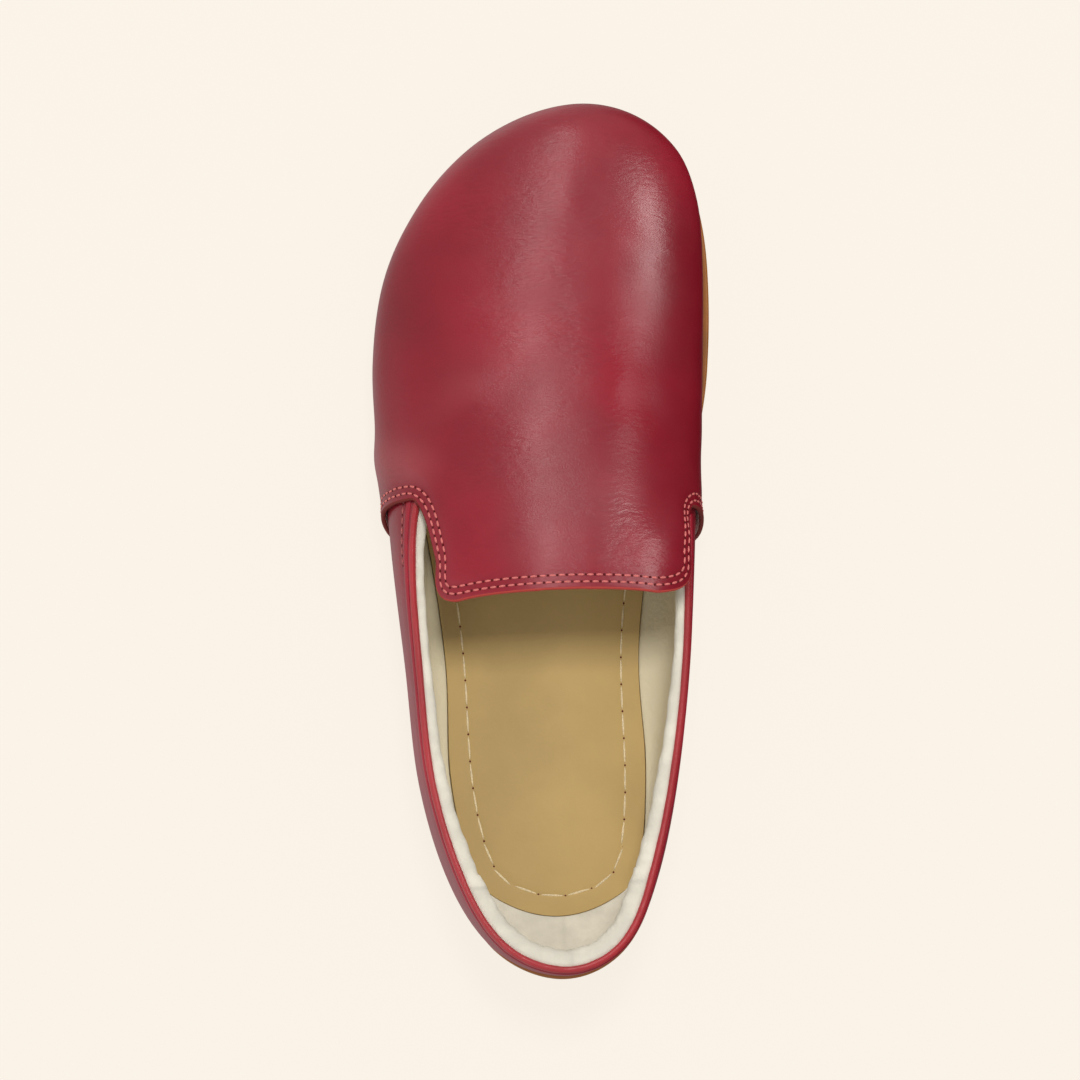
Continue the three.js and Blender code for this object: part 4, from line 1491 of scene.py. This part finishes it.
def make_stage(sizes, colours):
    """Pale floor, soft lights, world and the camera."""
    scene = bpy.context.scene
    half = FLOOR_SIZE / 2
    corners = [(-half, -half), (half, -half), (half, half), (-half, half)]
    mesh = bpy.data.meshes.new("floor")
    mesh.from_pydata([(x, y, FLOOR_LEVEL) for x, y in corners], [], [(0, 1, 2, 3)])
    mesh.materials.append(Look("floor_paper").finish(
        Base_Color=shade(colours.floor, 1 - FLOOR_GLOW), Roughness=0.9, Specular_IOR_Level=0.0,
        Emission_Color=shade(colours.floor, 1.0), Emission_Strength=FLOOR_GLOW))
    floor = linked("floor", mesh)
    floor.visible_glossy = False
    for name, place, across, along, power, for_gloss in LIGHTS:
        lamp = bpy.data.lights.new(name, "AREA")
        lamp.shape = "RECTANGLE"
        lamp.size = across
        lamp.size_y = along
        lamp.energy = power
        lamp.color = LIGHT_COLOUR
        holder = linked(name, lamp)
        holder.visible_glossy = for_gloss
        holder.visible_diffuse = not for_gloss
        stand(holder, place, (Vector(place) - AIM).normalized(), Vector((0, 1, 0)))
    scene.world = make_sky()
    camera = bpy.data.cameras.new("camera")
    camera.sensor_width = SENSOR
    camera.lens = SENSOR * CAMERA_DISTANCE / CAMERA_FRAME
    camera.clip_end = CAMERA_FAR
    scene.camera = linked("camera", camera)
    back = Vector((math.sin(CAMERA_LEAN), math.sin(CAMERA_NOD), 1.0)).normalized()
    upward = Vector((math.sin(CAMERA_ROLL), math.cos(CAMERA_ROLL), 0.0))
    stand(scene.camera, AIM + back * CAMERA_DISTANCE, back, upward)
    scene.view_settings.view_transform = "Standard"


# Add-on


class ShoeOperator:
    """What the shoe's operators share: each makes one piece or group from the scene's settings."""

    bl_options = {"REGISTER", "UNDO"}
    make = None

    def execute(self, context):
        type(self).make(context.scene.shoe_sizes, context.scene.shoe_colours)
        return {"FINISHED"}


class SHOE_OT_outsole(ShoeOperator, bpy.types.Operator):
    """Make the sole"""

    bl_idname = "shoe.outsole"
    bl_label = "Sole"
    make = staticmethod(make_outsole)


class SHOE_OT_insole(ShoeOperator, bpy.types.Operator):
    """Make the insole and its stitches"""

    bl_idname = "shoe.insole"
    bl_label = "Insole"
    make = staticmethod(make_insole)


class SHOE_OT_lining(ShoeOperator, bpy.types.Operator):
    """Make the lining"""

    bl_idname = "shoe.lining"
    bl_label = "Lining"
    make = staticmethod(make_lining)


class SHOE_OT_quarters(ShoeOperator, bpy.types.Operator):
    """Make the quarters and their stitches"""

    bl_idname = "shoe.quarters"
    bl_label = "Quarters"
    make = staticmethod(make_quarters)


class SHOE_OT_vamp(ShoeOperator, bpy.types.Operator):
    """Make the vamp and its stitches"""

    bl_idname = "shoe.vamp"
    bl_label = "Vamp"
    make = staticmethod(make_vamp)


class SHOE_OT_binding(ShoeOperator, bpy.types.Operator):
    """Make the binding of the topline"""

    bl_idname = "shoe.binding"
    bl_label = "Binding"
    make = staticmethod(make_binding)


class SHOE_OT_stage(ShoeOperator, bpy.types.Operator):
    """Make the floor, the lights and the camera"""

    bl_idname = "shoe.stage"
    bl_label = "Studio"
    make = staticmethod(make_stage)


OPERATORS = (
    SHOE_OT_outsole,
    SHOE_OT_insole,
    SHOE_OT_lining,
    SHOE_OT_quarters,
    SHOE_OT_vamp,
    SHOE_OT_binding,
    SHOE_OT_stage,
)


class SHOE_PT_panel(bpy.types.Panel):
    """The shoe's settings and pieces"""

    bl_idname = "SHOE_PT_panel"
    bl_label = "Slip-on shoe"
    bl_space_type = "VIEW_3D"
    bl_region_type = "UI"
    bl_category = "Shoe"

    def draw(self, context):
        for settings in (context.scene.shoe_sizes, context.scene.shoe_colours):
            column = self.layout.column()
            for name in settings.__annotations__:
                column.prop(settings, name)
        for operator in OPERATORS:
            self.layout.operator(operator.bl_idname)


CLASSES = (ShoeSizes, ShoeColours) + OPERATORS + (SHOE_PT_panel,)


def register():
    """Adds the shoe's classes and settings to Blender."""
    for cls in CLASSES:
        bpy.utils.register_class(cls)
    bpy.types.Scene.shoe_sizes = PointerProperty(type=ShoeSizes)
    bpy.types.Scene.shoe_colours = PointerProperty(type=ShoeColours)


def unregister():
    """Takes them out again."""
    del bpy.types.Scene.shoe_colours
    del bpy.types.Scene.shoe_sizes
    for cls in reversed(CLASSES):
        bpy.utils.unregister_class(cls)


def main():
    """Makes the whole shoe."""
    register()
    bpy.ops.shoe.outsole()
    bpy.ops.shoe.insole()
    bpy.ops.shoe.lining()
    bpy.ops.shoe.quarters()
    bpy.ops.shoe.vamp()
    bpy.ops.shoe.binding()
    bpy.ops.shoe.stage()


if __name__ == "__main__":
    main()
